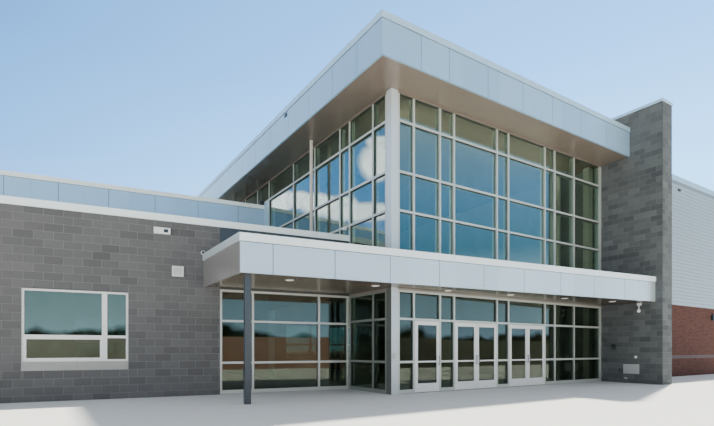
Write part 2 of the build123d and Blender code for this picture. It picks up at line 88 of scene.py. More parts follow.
class Axis(Enum):
    """Direction, in plan, that a pattern runs along."""

    HALL = (1.0, 0.0)
    SIDE = (0.0, 1.0)
    WING = (math.cos(SKEW), -math.sin(SKEW))
    WING_SIDE = (math.sin(SKEW), math.cos(SKEW))


class Facing(Enum):
    """Directions, in plan, along an upright face and out of it."""

    FRONT = (Axis.HALL.value, opposite(Axis.SIDE.value))
    BACK = (Axis.HALL.value, Axis.SIDE.value)
    LEFT = (Axis.SIDE.value, opposite(Axis.HALL.value))
    RIGHT = (Axis.SIDE.value, Axis.HALL.value)
    WING_FRONT = (Axis.WING.value, opposite(Axis.WING_SIDE.value))
    WING_BACK = (Axis.WING.value, Axis.WING_SIDE.value)
    WING_LEFT = (Axis.WING_SIDE.value, opposite(Axis.WING.value))


class Number:
    """A shader socket that takes part in sums, products and powers."""

    def __init__(self, tree: ShaderTree, socket: bpy.types.NodeSocket) -> None:
        """Keep the tree that the socket belongs to and the socket itself."""
        self.tree = tree
        self.socket = socket

    def _math(self, operation: str, *values: Number | float) -> Number:
        """Add one Math node and return its value.

        Args:
            operation: The node's operation.
            values: Its inputs, in order.

        Returns:
            The node's output.
        """
        inputs = dict(enumerate(values))
        return self.tree.node("ShaderNodeMath", {"operation": operation}, inputs)

    def __add__(self, other: Number | float) -> Number:
        """Sum of two values."""
        return self._math("ADD", self, other)

    __radd__ = __add__

    def __sub__(self, other: Number | float) -> Number:
        """This value less another."""
        return self._math("SUBTRACT", self, other)

    def __rsub__(self, other: float) -> Number:
        """A number less this value."""
        return self._math("SUBTRACT", other, self)

    def __mul__(self, other: Number | float) -> Number:
        """Product of two values."""
        return self._math("MULTIPLY", self, other)

    __rmul__ = __mul__

    def __truediv__(self, other: Number | float) -> Number:
        """This value divided by another."""
        return self._math("DIVIDE", self, other)

    def __pow__(self, other: float) -> Number:
        """This value to a power."""
        return self._math("POWER", self, other)

    def below(self, edge: float) -> Number:
        """One where this value is under the edge, and zero elsewhere."""
        return self._math("LESS_THAN", self, edge)

    def fraction(self) -> Number:
        """Part of this value after the point."""
        return self._math("FRACT", self)

    def floor(self) -> Number:
        """Whole number at or under this value."""
        return self._math("FLOOR", self)

    def absolute(self) -> Number:
        """This value without its sign."""
        return self._math("ABSOLUTE", self)


class ShaderTree:
    """A material's or the sky's nodes, with the few patterns that the finishes share."""

    def __init__(self, name: str, owner: bpy.types.World | None = None) -> None:
        """Start with no nodes, in a new material or in the world that is given.

        Args:
            name: The material's name.
            owner: The world, if the nodes are the sky's.
        """
        self.owner = owner or bpy.data.materials.new(name)
        self.owner.use_nodes = True
        self.nodes = self.owner.node_tree.nodes
        self.links = self.owner.node_tree.links
        self.nodes.clear()

    def node(self, kind: str, settings: dict, inputs: dict, output: int | str = 0) -> Number:
        """Add a node, set it up and feed its sockets.

        Args:
            kind: Blender's type name.
            settings: Attributes to set first; "stops" fills a colour ramp.
            inputs: Values or links by socket name or number.
            output: Which output to return.

        Returns:
            The chosen output.
        """
        made = self.nodes.new(kind)
        for key, value in settings.items():
            if key == "stops":
                self._fill_ramp(made, value)
            else:
                setattr(made, key, value)
        for key, value in inputs.items():
            if isinstance(value, Number):
                self.links.new(value.socket, made.inputs[key])
            else:
                made.inputs[key].default_value = value
        return Number(self, made.outputs[output]) if made.outputs else Number(self, None)

    @staticmethod
    def _fill_ramp(ramp: bpy.types.Node, stops: Stops) -> None:
        """Set a colour ramp's stops.

        Args:
            ramp: The colour ramp's node.
            stops: Places and colours.
        """
        elements = ramp.color_ramp.elements
        while len(elements) < len(stops):
            elements.new(1.0)
        for element, (place, colour) in zip(elements, stops):
            element.position = place
            element.color = (*colour, 1.0)

    def place(self) -> Number:
        """Object coordinates, which are the building's own."""
        return self.node("ShaderNodeTexCoord", {}, {}, "Object")

    def parts(self, vector: Number | None = None) -> tuple[Number, Number, Number]:
        """Split a vector into its X, Y and Z.

        Args:
            vector: The vector, or none for the object coordinates.

        Returns:
            The three numbers.
        """
        split = self.node("ShaderNodeSeparateXYZ", {}, {0: vector or self.place()})
        outputs = split.socket.node.outputs
        return tuple(Number(self, outputs[index]) for index in range(3))

    def along(self, axis: Axis) -> Number:
        """Distance along a direction in plan."""
        x, y, _ = self.parts()
        return x * axis.value[0] + y * axis.value[1]

    def noise(self, scale: float, detail: float = 3.0, stretch: Triple = (1, 1, 1)) -> Number:
        """Noise from 0 to 1, stretched along the axes.

        Args:
            scale: Lumps for each metre.
            detail: Finer octaves.
            stretch: Scale along X, Y and Z.

        Returns:
            The noise value.
        """
        mapped = self.node("ShaderNodeMapping", {}, {"Vector": self.place(), "Scale": stretch})
        inputs = {"Vector": mapped, "Scale": scale, "Detail": detail}
        return self.node("ShaderNodeTexNoise", {}, inputs)

    def random(self, value: Number) -> Number:
        """A random number from 0 to 1 for each whole value."""
        return self.node("ShaderNodeTexWhiteNoise", {"noise_dimensions": "1D"}, {"W": value})

    def attribute(self, name: str) -> Number:
        """A number that the mesh carries."""
        return self.node("ShaderNodeAttribute", {"attribute_name": name}, {}, "Fac")

    def ramp(self, value: Number, stops: Stops) -> Number:
        """Colour for a value, from stops of place and colour."""
        return self.node("ShaderNodeValToRGB", {"stops": stops}, {"Fac": value}, "Color")

    def tones(self, value: Number, colour: Colour, darker: float, paler: float) -> Number:
        """A colour made darker where the value is 0.3 or less, and paler where it is 0.7 or more."""
        return self.ramp(value, [(0.3, shade(colour, darker)), (0.7, shade(colour, paler))])

    def mix(self, share: Number | float, first: Number | Colour, second: Number | Colour) -> Number:
        """Blend two colours.

        Args:
            share: Share of the second colour.
            first: Colour or socket where the share is zero.
            second: Colour or socket where the share is one.

        Returns:
            The blended colour.
        """
        colours = [c if isinstance(c, Number) else (*c, 1.0) for c in (first, second)]
        inputs = {0: share, 6: colours[0], 7: colours[1]}
        return self.node("ShaderNodeMix", {"data_type": "RGBA"}, inputs, 2)

    def bump(self, height: Number, distance: float, strength: float = 1.0) -> Number:
        """Normal of a height pattern of a depth in metres."""
        inputs = {"Height": height, "Distance": distance, "Strength": strength}
        return self.node("ShaderNodeBump", {}, inputs, "Normal")

    def principled(self, inputs: dict) -> Number:
        """A Principled shader with these sockets."""
        return self.node("ShaderNodeBsdfPrincipled", {}, inputs)

    def finish(self, surface: Number, kind: str = "Material") -> bpy.types.ID:
        """Send a shader to the output and return what owns the nodes."""
        self.node("ShaderNodeOutput" + kind, {}, {"Surface": surface})
        return self.owner

    def surface(self, inputs: dict) -> bpy.types.ID:
        """Finish with one Principled shader that has these sockets."""
        return self.finish(self.principled(inputs))


def shade(colour: Colour, factor: float) -> Colour:
    """A colour made darker or lighter by a factor."""
    return tuple(min(1.0, part * factor) for part in colour)


@dataclass(frozen=True)
class Turn:
    """Where a finish turns into another colour; most finishes here use it to paint shade or light on one
    part.

    Attributes:
        far: Colour past the turn.
        axis: The axis that the turn goes along, X, Y or Z.
        level: Where on it the turn starts.
        length: Length that it takes.
        middle: Place that the level is measured from on both sides, if any.
        under: Level over which only the far colour is left, if any.
    """

    far: Colour
    axis: int
    level: float
    length: float = MM
    middle: float | None = None
    under: float | None = None

    def share(self, tree: ShaderTree) -> Number:
        """Share of the far colour = distance past the level / length, and all of it over the limit.

        Args:
            tree: The finish's nodes.

        Returns:
            The share, which may pass 0 and 1.
        """
        place = tree.parts()[self.axis]
        if self.middle is not None:
            place = (place - self.middle).absolute()
        share = (place - self.level) / self.length
        if self.under is not None:
            share = share + (1 - tree.parts()[Z].below(self.under)) / MM
        return share


@dataclass(frozen=True)
class PaintedMetal:
    """Painted or anodised sheet, with panel-to-panel tones and faint waves.

    Attributes:
        name: The material's name.
        colour: Mean colour.
        roughness: Mean roughness.
        metallic: Share of metal in the paint's sparkle.
        spread: How much the panels differ in tone.
        pitch: Panel width in metres, or zero for none.
        axis: Direction that the panels follow.
        seam: Spacing of thin lap joints in metres, or zero for none.
        wave: Depth of the sheet's waves in metres.
        turn: Where it turns into another colour, if it does.
    """

    name: str
    colour: Colour
    roughness: float = 0.35
    metallic: float = 0.2
    spread: float = 0.06
    pitch: float = 0.0
    axis: Axis = Axis.HALL
    seam: float = 0.0
    wave: float = 0.0006
    turn: Turn | None = None

    def build(self) -> bpy.types.Material:
        """Tone = panel's own random shade + slow streaks + dust; roughness follows the dust.

        Returns:
            The material.
        """
        tree = ShaderTree(self.name)
        spread = (1 - self.spread, 1 + self.spread)
        streaks = tree.noise(1.1, 4.0, (1.0, 1.0, 0.25))
        dust = tree.noise(9.0, 5.0)
        tone = streaks * 0.6 + dust * 0.4
        if self.pitch:
            tone = tone * 0.55 + tree.random((tree.along(self.axis) / self.pitch).floor()) * 0.45
        base = tree.tones(tone, self.colour, *spread)
        if self.turn:
            base = tree.mix(self.turn.share(tree), base, tree.tones(tone, self.turn.far, *spread))
        if self.seam:
            line = ((tree.along(self.axis) / self.seam).fraction() - 0.5).absolute()
            base = tree.mix(line.below(2 * MM / self.seam), base, shade(self.colour, 0.5))
        height = tree.noise(1.6, 1.0) + dust * 0.02
        return tree.surface(
            {
                "Base Color": base,
                "Metallic": self.metallic,
                "Roughness": self.roughness - 0.06 + dust * 0.12,
                "Normal": tree.bump(height, self.wave * 10, 0.6),
            }
        )


@dataclass(frozen=True)
class Masonry:
    """Faces of blocks or bricks: each has its own tone, with grain, pores and stains.

    Attributes:
        name: The material's name.
        dark: Colour of the darkest units.
        light: Colour of the palest units.
        grain: Grains for each metre.
        depth: Depth of the grain in metres.
    """

    name: str
    dark: Colour
    light: Colour
    grain: float = 260.0
    depth: float = 0.0016

    def build(self) -> bpy.types.Material:
        """Colour = unit's tone between dark and light, times speckle; bump = grain + pits.

        Returns:
            The material.
        """
        tree = ShaderTree(self.name)
        mottle = tree.noise(7.0, 5.0)
        grain = tree.noise(self.grain, 2.0)
        stain = tree.noise(0.55, 3.0, (1.0, 1.0, 0.5))
        value = tree.attribute("tone") * 0.62 + mottle * 0.22 + stain * 0.16
        base = tree.ramp(value, [(0.18, self.dark), (0.82, self.light)])
        speckle = tree.ramp(grain, [(0.32, shade(self.dark, 0.7)), (0.68, shade(self.light, 1.2))])
        return tree.surface(
            {
                "Base Color": tree.mix(0.28, base, speckle),
                "Roughness": 0.82 + grain * 0.14,
                "Specular IOR Level": 0.3,
                "Normal": tree.bump(grain * 0.6 + mottle * 0.4, self.depth),
            }
        )


@dataclass(frozen=True)
class Mineral:
    """Mortar, cast stone, concrete, plaster or membrane: two tones, grain and stains.

    Attributes:
        name: The material's name.
        colour: Mean colour.
        spread: How far the tones differ.
        grain: Grains for each metre.
        depth: Depth of the grain in metres.
        roughness: Mean roughness.
    """

    name: str
    colour: Colour
    spread: float = 0.12
    grain: float = 180.0
    depth: float = 0.001
    roughness: float = 0.85

    def build(self) -> bpy.types.Material:
        """Colour = mottle + stains between two tones; bump = fine grain.

        Returns:
            The material.
        """
        tree = ShaderTree(self.name)
        mottle = tree.noise(2.3, 6.0)
        grain = tree.noise(self.grain, 3.0)
        tone = mottle * 0.7 + grain * 0.3
        return tree.surface(
            {
                "Base Color": tree.tones(tone, self.colour, 1 - self.spread, 1 + self.spread),
                "Roughness": self.roughness - 0.08 + grain * 0.16,
                "Specular IOR Level": 0.35,
                "Normal": tree.bump(grain, self.depth),
            }
        )


@dataclass(frozen=True)
class TintedGlass:
    """Coated double glazing: a mirror-like tinted skin over a dim, tinted see-through.

    Attributes:
        name: The material's name.
        skin: Tint of what it mirrors.
        through: Tint of what is seen through it.
        least: Share mirrored when looked at squarely.
    """

    name: str
    skin: Colour
    through: Colour
    least: float

    def build(self) -> bpy.types.Material:
        """Mirror share = least share + the rest by the angle; slow waves bend the mirror.

        Returns:
            The material.
        """
        tree = ShaderTree(self.name)
        waves = tree.noise(0.55, 1.0, (1.0, 1.0, 0.6))
        film = tree.noise(2.4, 4.0)
        mirror = tree.principled(
            {
                "Base Color": tree.tones(film, self.skin, 0.94, 1.04),
                "Metallic": 1.0,
                "Roughness": 0.012 + film * 0.012,
                "Normal": tree.bump(waves, 0.0025, 0.5),
            }
        )
        clear = tree.node("ShaderNodeBsdfTransparent", {}, {"Color": (*self.through, 1.0)})
        facing = tree.node("ShaderNodeLayerWeight", {}, {"Blend": 0.5}, "Facing")
        share = (facing**3.0) * (1.0 - self.least) + self.least
        return tree.finish(tree.node("ShaderNodeMixShader", {}, {0: share, 1: clear, 2: mirror}))


@dataclass(frozen=True)
class DoorPaint:
    """White paint of the door leaves, with satin steel on the pulls that stand out of them.

    Attributes:
        name: The material's name.
        paint: Colour of the leaf.
        steel: Colour of the pulls.
        reach: How far out of the hall's face the paint ends.
    """

    name: str = "door_paint"
    paint: Colour = (0.78, 0.8, 0.8)
    steel: Colour = (0.14, 0.14, 0.14)
    reach: float = 0.012

    def build(self) -> bpy.types.Material:
        """Steel where Y is less than the face's less the reach, paint elsewhere.

        Returns:
            The material.
        """
        tree = ShaderTree(self.name)
        pull = tree.parts()[Y].below(FACE - self.reach)
        dust = tree.noise(5.0, 4.0)
        paint = tree.tones(dust, self.paint, 0.95, 1.02)
        steel = tree.tones(tree.noise(40.0, 2.0, (1.0, 1.0, 0.05)), self.steel, 0.8, 1.2)
        return tree.surface(
            {
                "Base Color": tree.mix(pull, paint, steel),
                "Metallic": pull * 0.9,
                "Roughness": 0.36 + dust * 0.08 - pull * 0.06,
                "Normal": tree.bump(dust, 0.001, 0.4),
            }
        )


@dataclass(frozen=True)
class Lens:
    """Frosted lens of a lamp, mottled by its frosting.

    Attributes:
        name: The material's name.
        colour: Colour of its light.
        strength: Brightness of its light.
    """

    name: str = "lamp_lens"
    colour: Colour = (0.95, 0.9, 0.8)
    strength: float = 0.9

    def build(self) -> bpy.types.Material:
        """Emission = warm white times slow ripples of the frosting.

        Returns:
            The material.
        """
        tree = ShaderTree(self.name)
        frost = tree.noise(60.0, 2.0)
        glow = tree.ramp(frost, [(0.2, shade(self.colour, 0.85)), (0.8, self.colour)])
        return tree.surface(
            {
                "Base Color": glow,
                "Emission Color": glow,
                "Emission Strength": self.strength,
                "Roughness": 0.45,
                "Normal": tree.bump(frost, 0.0008),
            }
        )


# Colours and a length that several finishes share; PANEL is bluer than the silver paint itself, partly
# painted sky reflection
PANEL = (0.315, 0.49, 0.645)
SILVER = (0.5, 0.52, 0.47)
WHITE = (0.78, 0.8, 0.8)
SLATE = (0.045, 0.055, 0.062)
COPING_LENGTH = 3.05
# X of the left end of the canopy's coping
CANOPY_COPING_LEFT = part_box("canopy_coping")[0].x
Finish = PaintedMetal | Masonry | Mineral | TintedGlass | DoorPaint | Lens
Finishes = dict[str, bpy.types.Material]


def metal_finishes() -> list[Finish]:
    """Paints, panels, copings, soffits, bars and rubber.

    Returns:
        The finishes that are sheet, bar or rubber.
    """
    wing, lap = Axis.WING, COPING_LENGTH
    return [
        # Its turn makes the left side paler towards the back: painted light
        PaintedMetal(
            "fascia_panel", PANEL, 0.36, 0.25, 0.05, pitch=1.56,
            turn=Turn((0.5, 0.7, 0.76), Y, 0.5, 14.0),
        ),
        # Dark brown-grey on the canopy's left face, pale on its front: painted shade on the left face
        PaintedMetal(
            "canopy_panel", (0.33, 0.31, 0.3), 0.3, 0.45, 0.045, 1.599, wing,
            turn=Turn((0.6, 0.67, 0.67), X, -4.63),
        ),
        PaintedMetal("upper_panel", shade(PANEL, 1.15), 0.38, 0.25, 0.06, 1.688, wing),
        PaintedMetal("panel_filler", PANEL, 0.38, 0.25, 0.06),
        # Dark on the column's left face under the canopy, pale elsewhere: painted shade of the canopy
        PaintedMetal(
            "column_panel", (0.13, 0.14, 0.13), 0.34, 0.2, 0.04,
            turn=Turn((0.54, 0.6, 0.62), X, FACE + 2 * MM, under=3.07),
        ),
        PaintedMetal("coping_metal", (0.41, 0.58, 0.7), 0.33, 0.2, 0.04, seam=lap),
        PaintedMetal("coping_metal_wing", (0.88, 0.98, 1.0), 0.33, 0.0, 0.02, axis=wing, seam=lap),
        # Darker on the coping's left end, pale past it: painted shade on the left end
        PaintedMetal(
            "coping_metal_canopy", (0.42, 0.49, 0.54), 0.33, 0.0, 0.03, axis=wing, seam=lap,
            turn=Turn((0.82, 0.9, 0.95), X, CANOPY_COPING_LEFT + 0.01),
        ),
        PaintedMetal("siding_metal", (0.31, 0.365, 0.385), 0.36, 0.2, 0.04),
        # Darker than the ribs, in the grooves between them: painted shade
        PaintedMetal("siding_groove", (0.2, 0.23, 0.25), 0.5, 0.1, 0.05),
        # Warm and pale near the roof's front, darker further back along its left side: painted shade
        PaintedMetal(
            "soffit_metal", (0.26, 0.205, 0.17), 0.22, 0.3, 0.05, wave=0.0003,
            turn=Turn((0.125, 0.108, 0.095), Y, -1.0, 8.0),
        ),
        # Lighter at the canopy's left end, darker from the hall's corner on: painted shade
        PaintedMetal(
            "canopy_soffit_metal", (0.19, 0.145, 0.115), 0.24, 0.3, 0.05, wave=0.0003,
            turn=Turn((0.085, 0.06, 0.045), X, -0.8, 2.0),
        ),
        # Dark on the side screen's bars under the canopy, silver on the others: painted shade
        PaintedMetal(
            "frame_silver_low", (0.27, 0.29, 0.26), 0.36, 0.3, 0.03,
            turn=Turn((0.52, 0.54, 0.49), Y, 1.1, 0.01, middle=1.0),
        ),
        # Dark brown on the top rail under the soffit: painted shade where it meets the soffit
        PaintedMetal("frame_silver", SILVER, 0.36, 0.3, 0.03, turn=Turn((0.2, 0.17, 0.14), Z, 8.68)),
        PaintedMetal("beam_cover", (0.26, 0.23, 0.2), 0.36, 0.2, 0.03, turn=Turn(SILVER, Z, 3.9, 0.01)),
        PaintedMetal("frame_white", WHITE, 0.4, 0.0, 0.03),
        DoorPaint(paint=WHITE),
        PaintedMetal("slate_paint", SLATE, 0.42, 0.0, 0.1),
        PaintedMetal("slate_facing", (0.036, 0.044, 0.046), 0.42, 0.0, 0.1),
        PaintedMetal("pale_paint", (0.58, 0.52, 0.47), 0.42, 0.0, 0.04),
        PaintedMetal("fixture_grey", (0.45, 0.47, 0.47), 0.45, 0.0, 0.05),
        PaintedMetal("fixture_black", (0.02, 0.022, 0.025), 0.4, 0.0, 0.2),
        PaintedMetal("gasket_rubber", (0.03, 0.034, 0.034), 0.6, 0.0, 0.2),
        PaintedMetal("joint_seal", SLATE, 0.7, 0.0, 0.15),
    ]


def stone_and_glass_finishes() -> list[Finish]:
    """Blocks, bricks, mortars, stones, membrane, glass and lamp lenses.

    Returns:
        The other finishes.
    """
    return [
        Masonry("block_face", (0.084, 0.084, 0.087), (0.15, 0.151, 0.155)),
        # Darker than the wing's blocks: partly painted shade on the fin, partly its own coarser grain
        Masonry("fin_face", (0.048, 0.053, 0.056), (0.15, 0.164, 0.168), 200.0, 0.0024),
        Masonry("brick_face", (0.055, 0.0165, 0.0118), (0.124, 0.045, 0.031), 400.0, 0.0012),
        Mineral("block_mortar", (0.205, 0.2, 0.198)),
        # Darker copy of the block mortar: painted shade on the fin
        Mineral("fin_mortar", (0.16, 0.155, 0.15)),
        Mineral("brick_mortar", (0.104, 0.074, 0.06)),
        Mineral("cast_stone", (0.36, 0.37, 0.36), 0.08),
        Mineral("band_stone", (0.113, 0.085, 0.09), 0.08),
        Mineral("trowelled_floor", (0.33, 0.32, 0.3), 0.15, 40.0, 0.0006, 0.5),
        Mineral("roof_membrane", (0.3, 0.3, 0.29), 0.08, 30.0, 0.001),
        TintedGlass("hall_glass", (0.46, 0.52, 0.48), (0.8, 0.9, 0.82), 0.25),
        TintedGlass("screen_glass", (0.22, 0.24, 0.2), (0.5, 0.58, 0.52), 0.22),
        TintedGlass("window_glass", (0.28, 0.31, 0.23), (0.34, 0.4, 0.36), 0.32),
        TintedGlass("door_glass", (0.2, 0.22, 0.19), (0.46, 0.5, 0.46), 0.2),
        Lens(),
    ]


# Nodes that wear each finish, apart from the door leaves and their panes
NODE_FINISH = {
    "fascia_panel": ["roof_fascia", "hall_side_wall"],
    "canopy_panel": ["canopy_fascia"],
    "upper_panel": ["upper_front_wall", "upper_left_wall", "upper_back_wall"],
    "column_panel": ["corner_column"],
    "coping_metal": ["roof_coping", "fin_coping", "gym_coping"],
    "coping_metal_wing": ["wing_coping", "upper_coping"],
    "coping_metal_canopy": ["canopy_coping"],
    "siding_groove": ["gym_siding"],
    "soffit_metal": ["roof_soffit"],
    "canopy_soffit_metal": ["canopy_soffit"],
    "frame_silver": ["upper_mullions", "upper_rails"],
    "frame_silver_low": ["lower_mullions", "lower_rails"],
    "beam_cover": ["edge_beams"],
    "frame_white": ["window_frames"],
    "slate_paint": ["canopy_column"],
    "slate_facing": ["wing_over_wall"],
    "pale_paint": ["roof_post", "inner_column"],
    "block_mortar": ["party_wall", "hall_back_wall", "wing_front_wall", "wing_left_wall", "wing_back_wall"],
    "fin_mortar": ["fin_wall"],
    "brick_mortar": ["gym_base"],
    "cast_stone": ["window_sills"],
    "band_stone": ["gym_band"],
    "trowelled_floor": ["hall_floor", "wing_floor"],
    "roof_membrane": ["roof_deck", "canopy_deck", "wing_roof", "upper_roof", "gym_roof"],
    "hall_glass": ["upper_glass"],
    "screen_glass": ["lower_glass"],
    "window_glass": ["window_glass"],
    "lamp_lens": ["canopy_lights"],
}


def dress_nodes(finishes: Finishes) -> None:
    """Give every CAD node its finish.

    Args:
        finishes: The building's finishes.
    """
    wanted = {node: name for name, nodes in NODE_FINISH.items() for node in nodes}
    wanted |= {door: "door_paint" for door in DOORS}
    wanted |= {door + "_glass": "door_glass" for door in DOORS}
    for node, thing in NODES.items():
        thing.data.materials.clear()
        thing.data.materials.append(finishes[wanted[node]])


@dataclass(frozen=True)
class Wall:
    """An upright outer face: x runs along it, z up it and depth out of it.

    Attributes:
        name: What the face is called.
        corner: Foot of its first edge, in metres.
        facing: Which way it runs and looks.
        length: Length of the face, where it matters.
        low: Level of its foot.
        high: Level of its top.
        holes: Rectangles (left, right, low, high) that are left out.
        unit: Length of its blocks, or zero for the usual one.
        shift: Where the first upright joint stands.
    """

    name: str
    corner: Spot
    facing: Facing
    length: float = 0.0
    low: float = 0.0
    high: float = 0.0
    holes: tuple[Span, ...] = ()
    unit: float = 0.0
    shift: float = 0.0

    def points(self, x: np.ndarray, z: np.ndarray, depth: np.ndarray) -> np.ndarray:
        """Points of the building from places on the face: corner + x along + depth out.

        Args:
            x: Places along the face.
            z: Levels.
            depth: Distances out of it.

        Returns:
            The points, in the arrays' shape.
        """
        along, out = np.array(self.facing.value)
        flat = np.asarray(self.corner) + x[..., None] * along
        flat = flat + depth[..., None] * out
        return np.concatenate([flat, z[..., None]], axis=-1)

    def local(self, points: np.ndarray) -> np.ndarray:
        """Places (x, z, depth) on the face from points of the building.

        Args:
            points: Points, one a row.

        Returns:
            Their places, one a row.
        """
        along, out = np.array(self.facing.value)
        flat = points[..., :2] - np.asarray(self.corner)
        return np.stack([flat @ along, points[..., 2], flat @ out], axis=-1)

    def outward(self, faces: np.ndarray) -> np.ndarray:
        """Faces wound for a front, turned round where along x out has the other sign."""
        (right, ahead), (aside, away) = self.facing.value
        return faces if right * away < ahead * aside else faces[:, ::-1]


def new_object(name: str, data: bpy.types.ID) -> bpy.types.Object:
    """Make an object and put it into the scene.

    Args:
        name: The object's name.
        data: Its mesh, light or camera.

    Returns:
        The new object.
    """
    made = bpy.data.objects.new(name, data)
    bpy.context.scene.collection.objects.link(made)
    return made


def add_piece(
    name: str, mesh: bpy.types.Mesh, material: bpy.types.Material, body: str = BUILDING
) -> bpy.types.Object:
    """Finish a mesh, let it ride on a body and report it.

    Args:
        name: The piece's name.
        mesh: Its mesh, with its place in it.
        material: Its finish.
        body: The body that carries it.

    Returns:
        The new object.
    """
    mesh.materials.append(material)
    piece = new_object(name, mesh)
    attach(piece, body)
    LOG.info("%s: %d faces, on %s", name, len(mesh.polygons), body)
    return piece


def add_mesh(
    name: str,
    verts: np.ndarray,
    faces: np.ndarray,
    material: bpy.types.Material,
    body: str = BUILDING,
    tones: np.ndarray | None = None,
    smooth: bool = False,
) -> bpy.types.Object:
    """Make a piece from arrays and let it ride on a body.

    Args:
        name: The piece's name.
        verts: Points, one a row.
        faces: Quads or triangles, one a row.
        material: Its finish.
        body: The body that carries it.
        tones: A number for each face, if its finish reads one.
        smooth: Whether it is shaded round.

    Returns:
        The new object.
    """
    mesh = bpy.data.meshes.new(name)
    faces = np.asarray(faces, np.int32)
    corners = faces.shape[1]
    mesh.vertices.add(len(verts))
    mesh.vertices.foreach_set("co", np.asarray(verts, np.float32).ravel())
    mesh.loops.add(faces.size)
    mesh.loops.foreach_set("vertex_index", faces.ravel())
    mesh.polygons.add(len(faces))
    mesh.polygons.foreach_set("loop_start", np.arange(0, faces.size, corners, dtype=np.int32))
    mesh.polygons.foreach_set("loop_total", np.full(len(faces), corners, np.int32))
    mesh.update(calc_edges=True)
    mesh.validate()
    mesh.polygons.foreach_set("use_smooth", np.full(len(faces), smooth))
    if tones is not None:
        layer = mesh.attributes.new("tone", "FLOAT", "FACE")
        layer.data.foreach_set("value", np.asarray(tones, np.float32))
    return add_piece(name, mesh, material, body)


# Quads of a box whose corners go round its back and then round its front
BOX_FACES = np.array([[0, 3, 2, 1], [4, 5, 6, 7], [0, 1, 5, 4], [1, 2, 6, 5], [2, 3, 7, 6], [3, 0, 4, 7]])


def box_grid(wall: Wall, spans: np.ndarray, inner: float, outer: float) -> tuple[np.ndarray, np.ndarray]:
    """Boxes on a wall, one for each span: its four corners at the backs' and the fronts' depth.

    Args:
        wall: The face that they stand on.
        spans: One row (left, right, low, high) for each box.
        inner: Depth of their backs, out of the face.
        outer: Depth of their fronts.

    Returns:
        Points and quads, wound so that each box's faces point outwards.
    """
    left, right, low, high = spans.T
    ring_x = np.stack([left, right, right, left], axis=1)
    ring_z = np.stack([low, low, high, high], axis=1)
    x = np.concatenate([ring_x, ring_x], axis=1)
    z = np.concatenate([ring_z, ring_z], axis=1)
    depth = np.concatenate([np.full_like(ring_x, inner), np.full_like(ring_x, outer)], axis=1)
    verts = wall.points(x, z, depth).reshape(-1, 3)
    faces = (np.arange(len(spans))[:, None, None] * 8 + BOX_FACES).reshape(-1, 4)
    return verts, wall.outward(faces)


def add_boxes(
    name: str,
    wall: Wall,
    spans: Sequence[Sequence[float]],
    depths: Spot,
    material: bpy.types.Material,
    tones: np.ndarray | None = None,
) -> bpy.types.Object:
    """Make one piece of boxes on a wall.

    Args:
        name: The piece's name.
        wall: The face that they stand on.
        spans: One row (left, right, low, high) for each box.
        depths: Depth of their backs and of their fronts, out of the face.
        material: Their finish.
        tones: A number for each of their faces, if the finish reads one.

    Returns:
        The new object.
    """
    verts, faces = box_grid(wall, np.asarray(spans), *depths)
    return add_mesh(name, verts, faces, material, tones=tones)


def cut_hole(spans: np.ndarray, hole: Sequence[float], least: float) -> np.ndarray:
    """Take a hole out of rectangles, leaving what is beside, under and over it.

    Args:
        spans: Rows of (left, right, low, high).
        hole: The hole, in the same order.
        least: Pieces narrower or lower than this are dropped.

    Returns:
        The rectangles that are left.
    """
    left, right, low, high = spans.T
    hit = (right > hole[0]) & (left < hole[1]) & (high > hole[2]) & (low < hole[3])
    cut = spans[hit]
    middle = cut.copy()
    middle[:, :2] = np.clip(cut[:, :2], hole[0], hole[1])
    pieces = [spans[~hit]]
    for source, column, edge in ((cut, 1, 0), (cut, 0, 1), (middle, 3, 2), (middle, 2, 3)):
        part = source.copy()
        part[:, column] = hole[edge]
        pieces.append(part)
    joined = np.concatenate(pieces)
    wide = (joined[:, 1] - joined[:, 0] > least) & (joined[:, 3] - joined[:, 2] > least)
    return joined[wide]


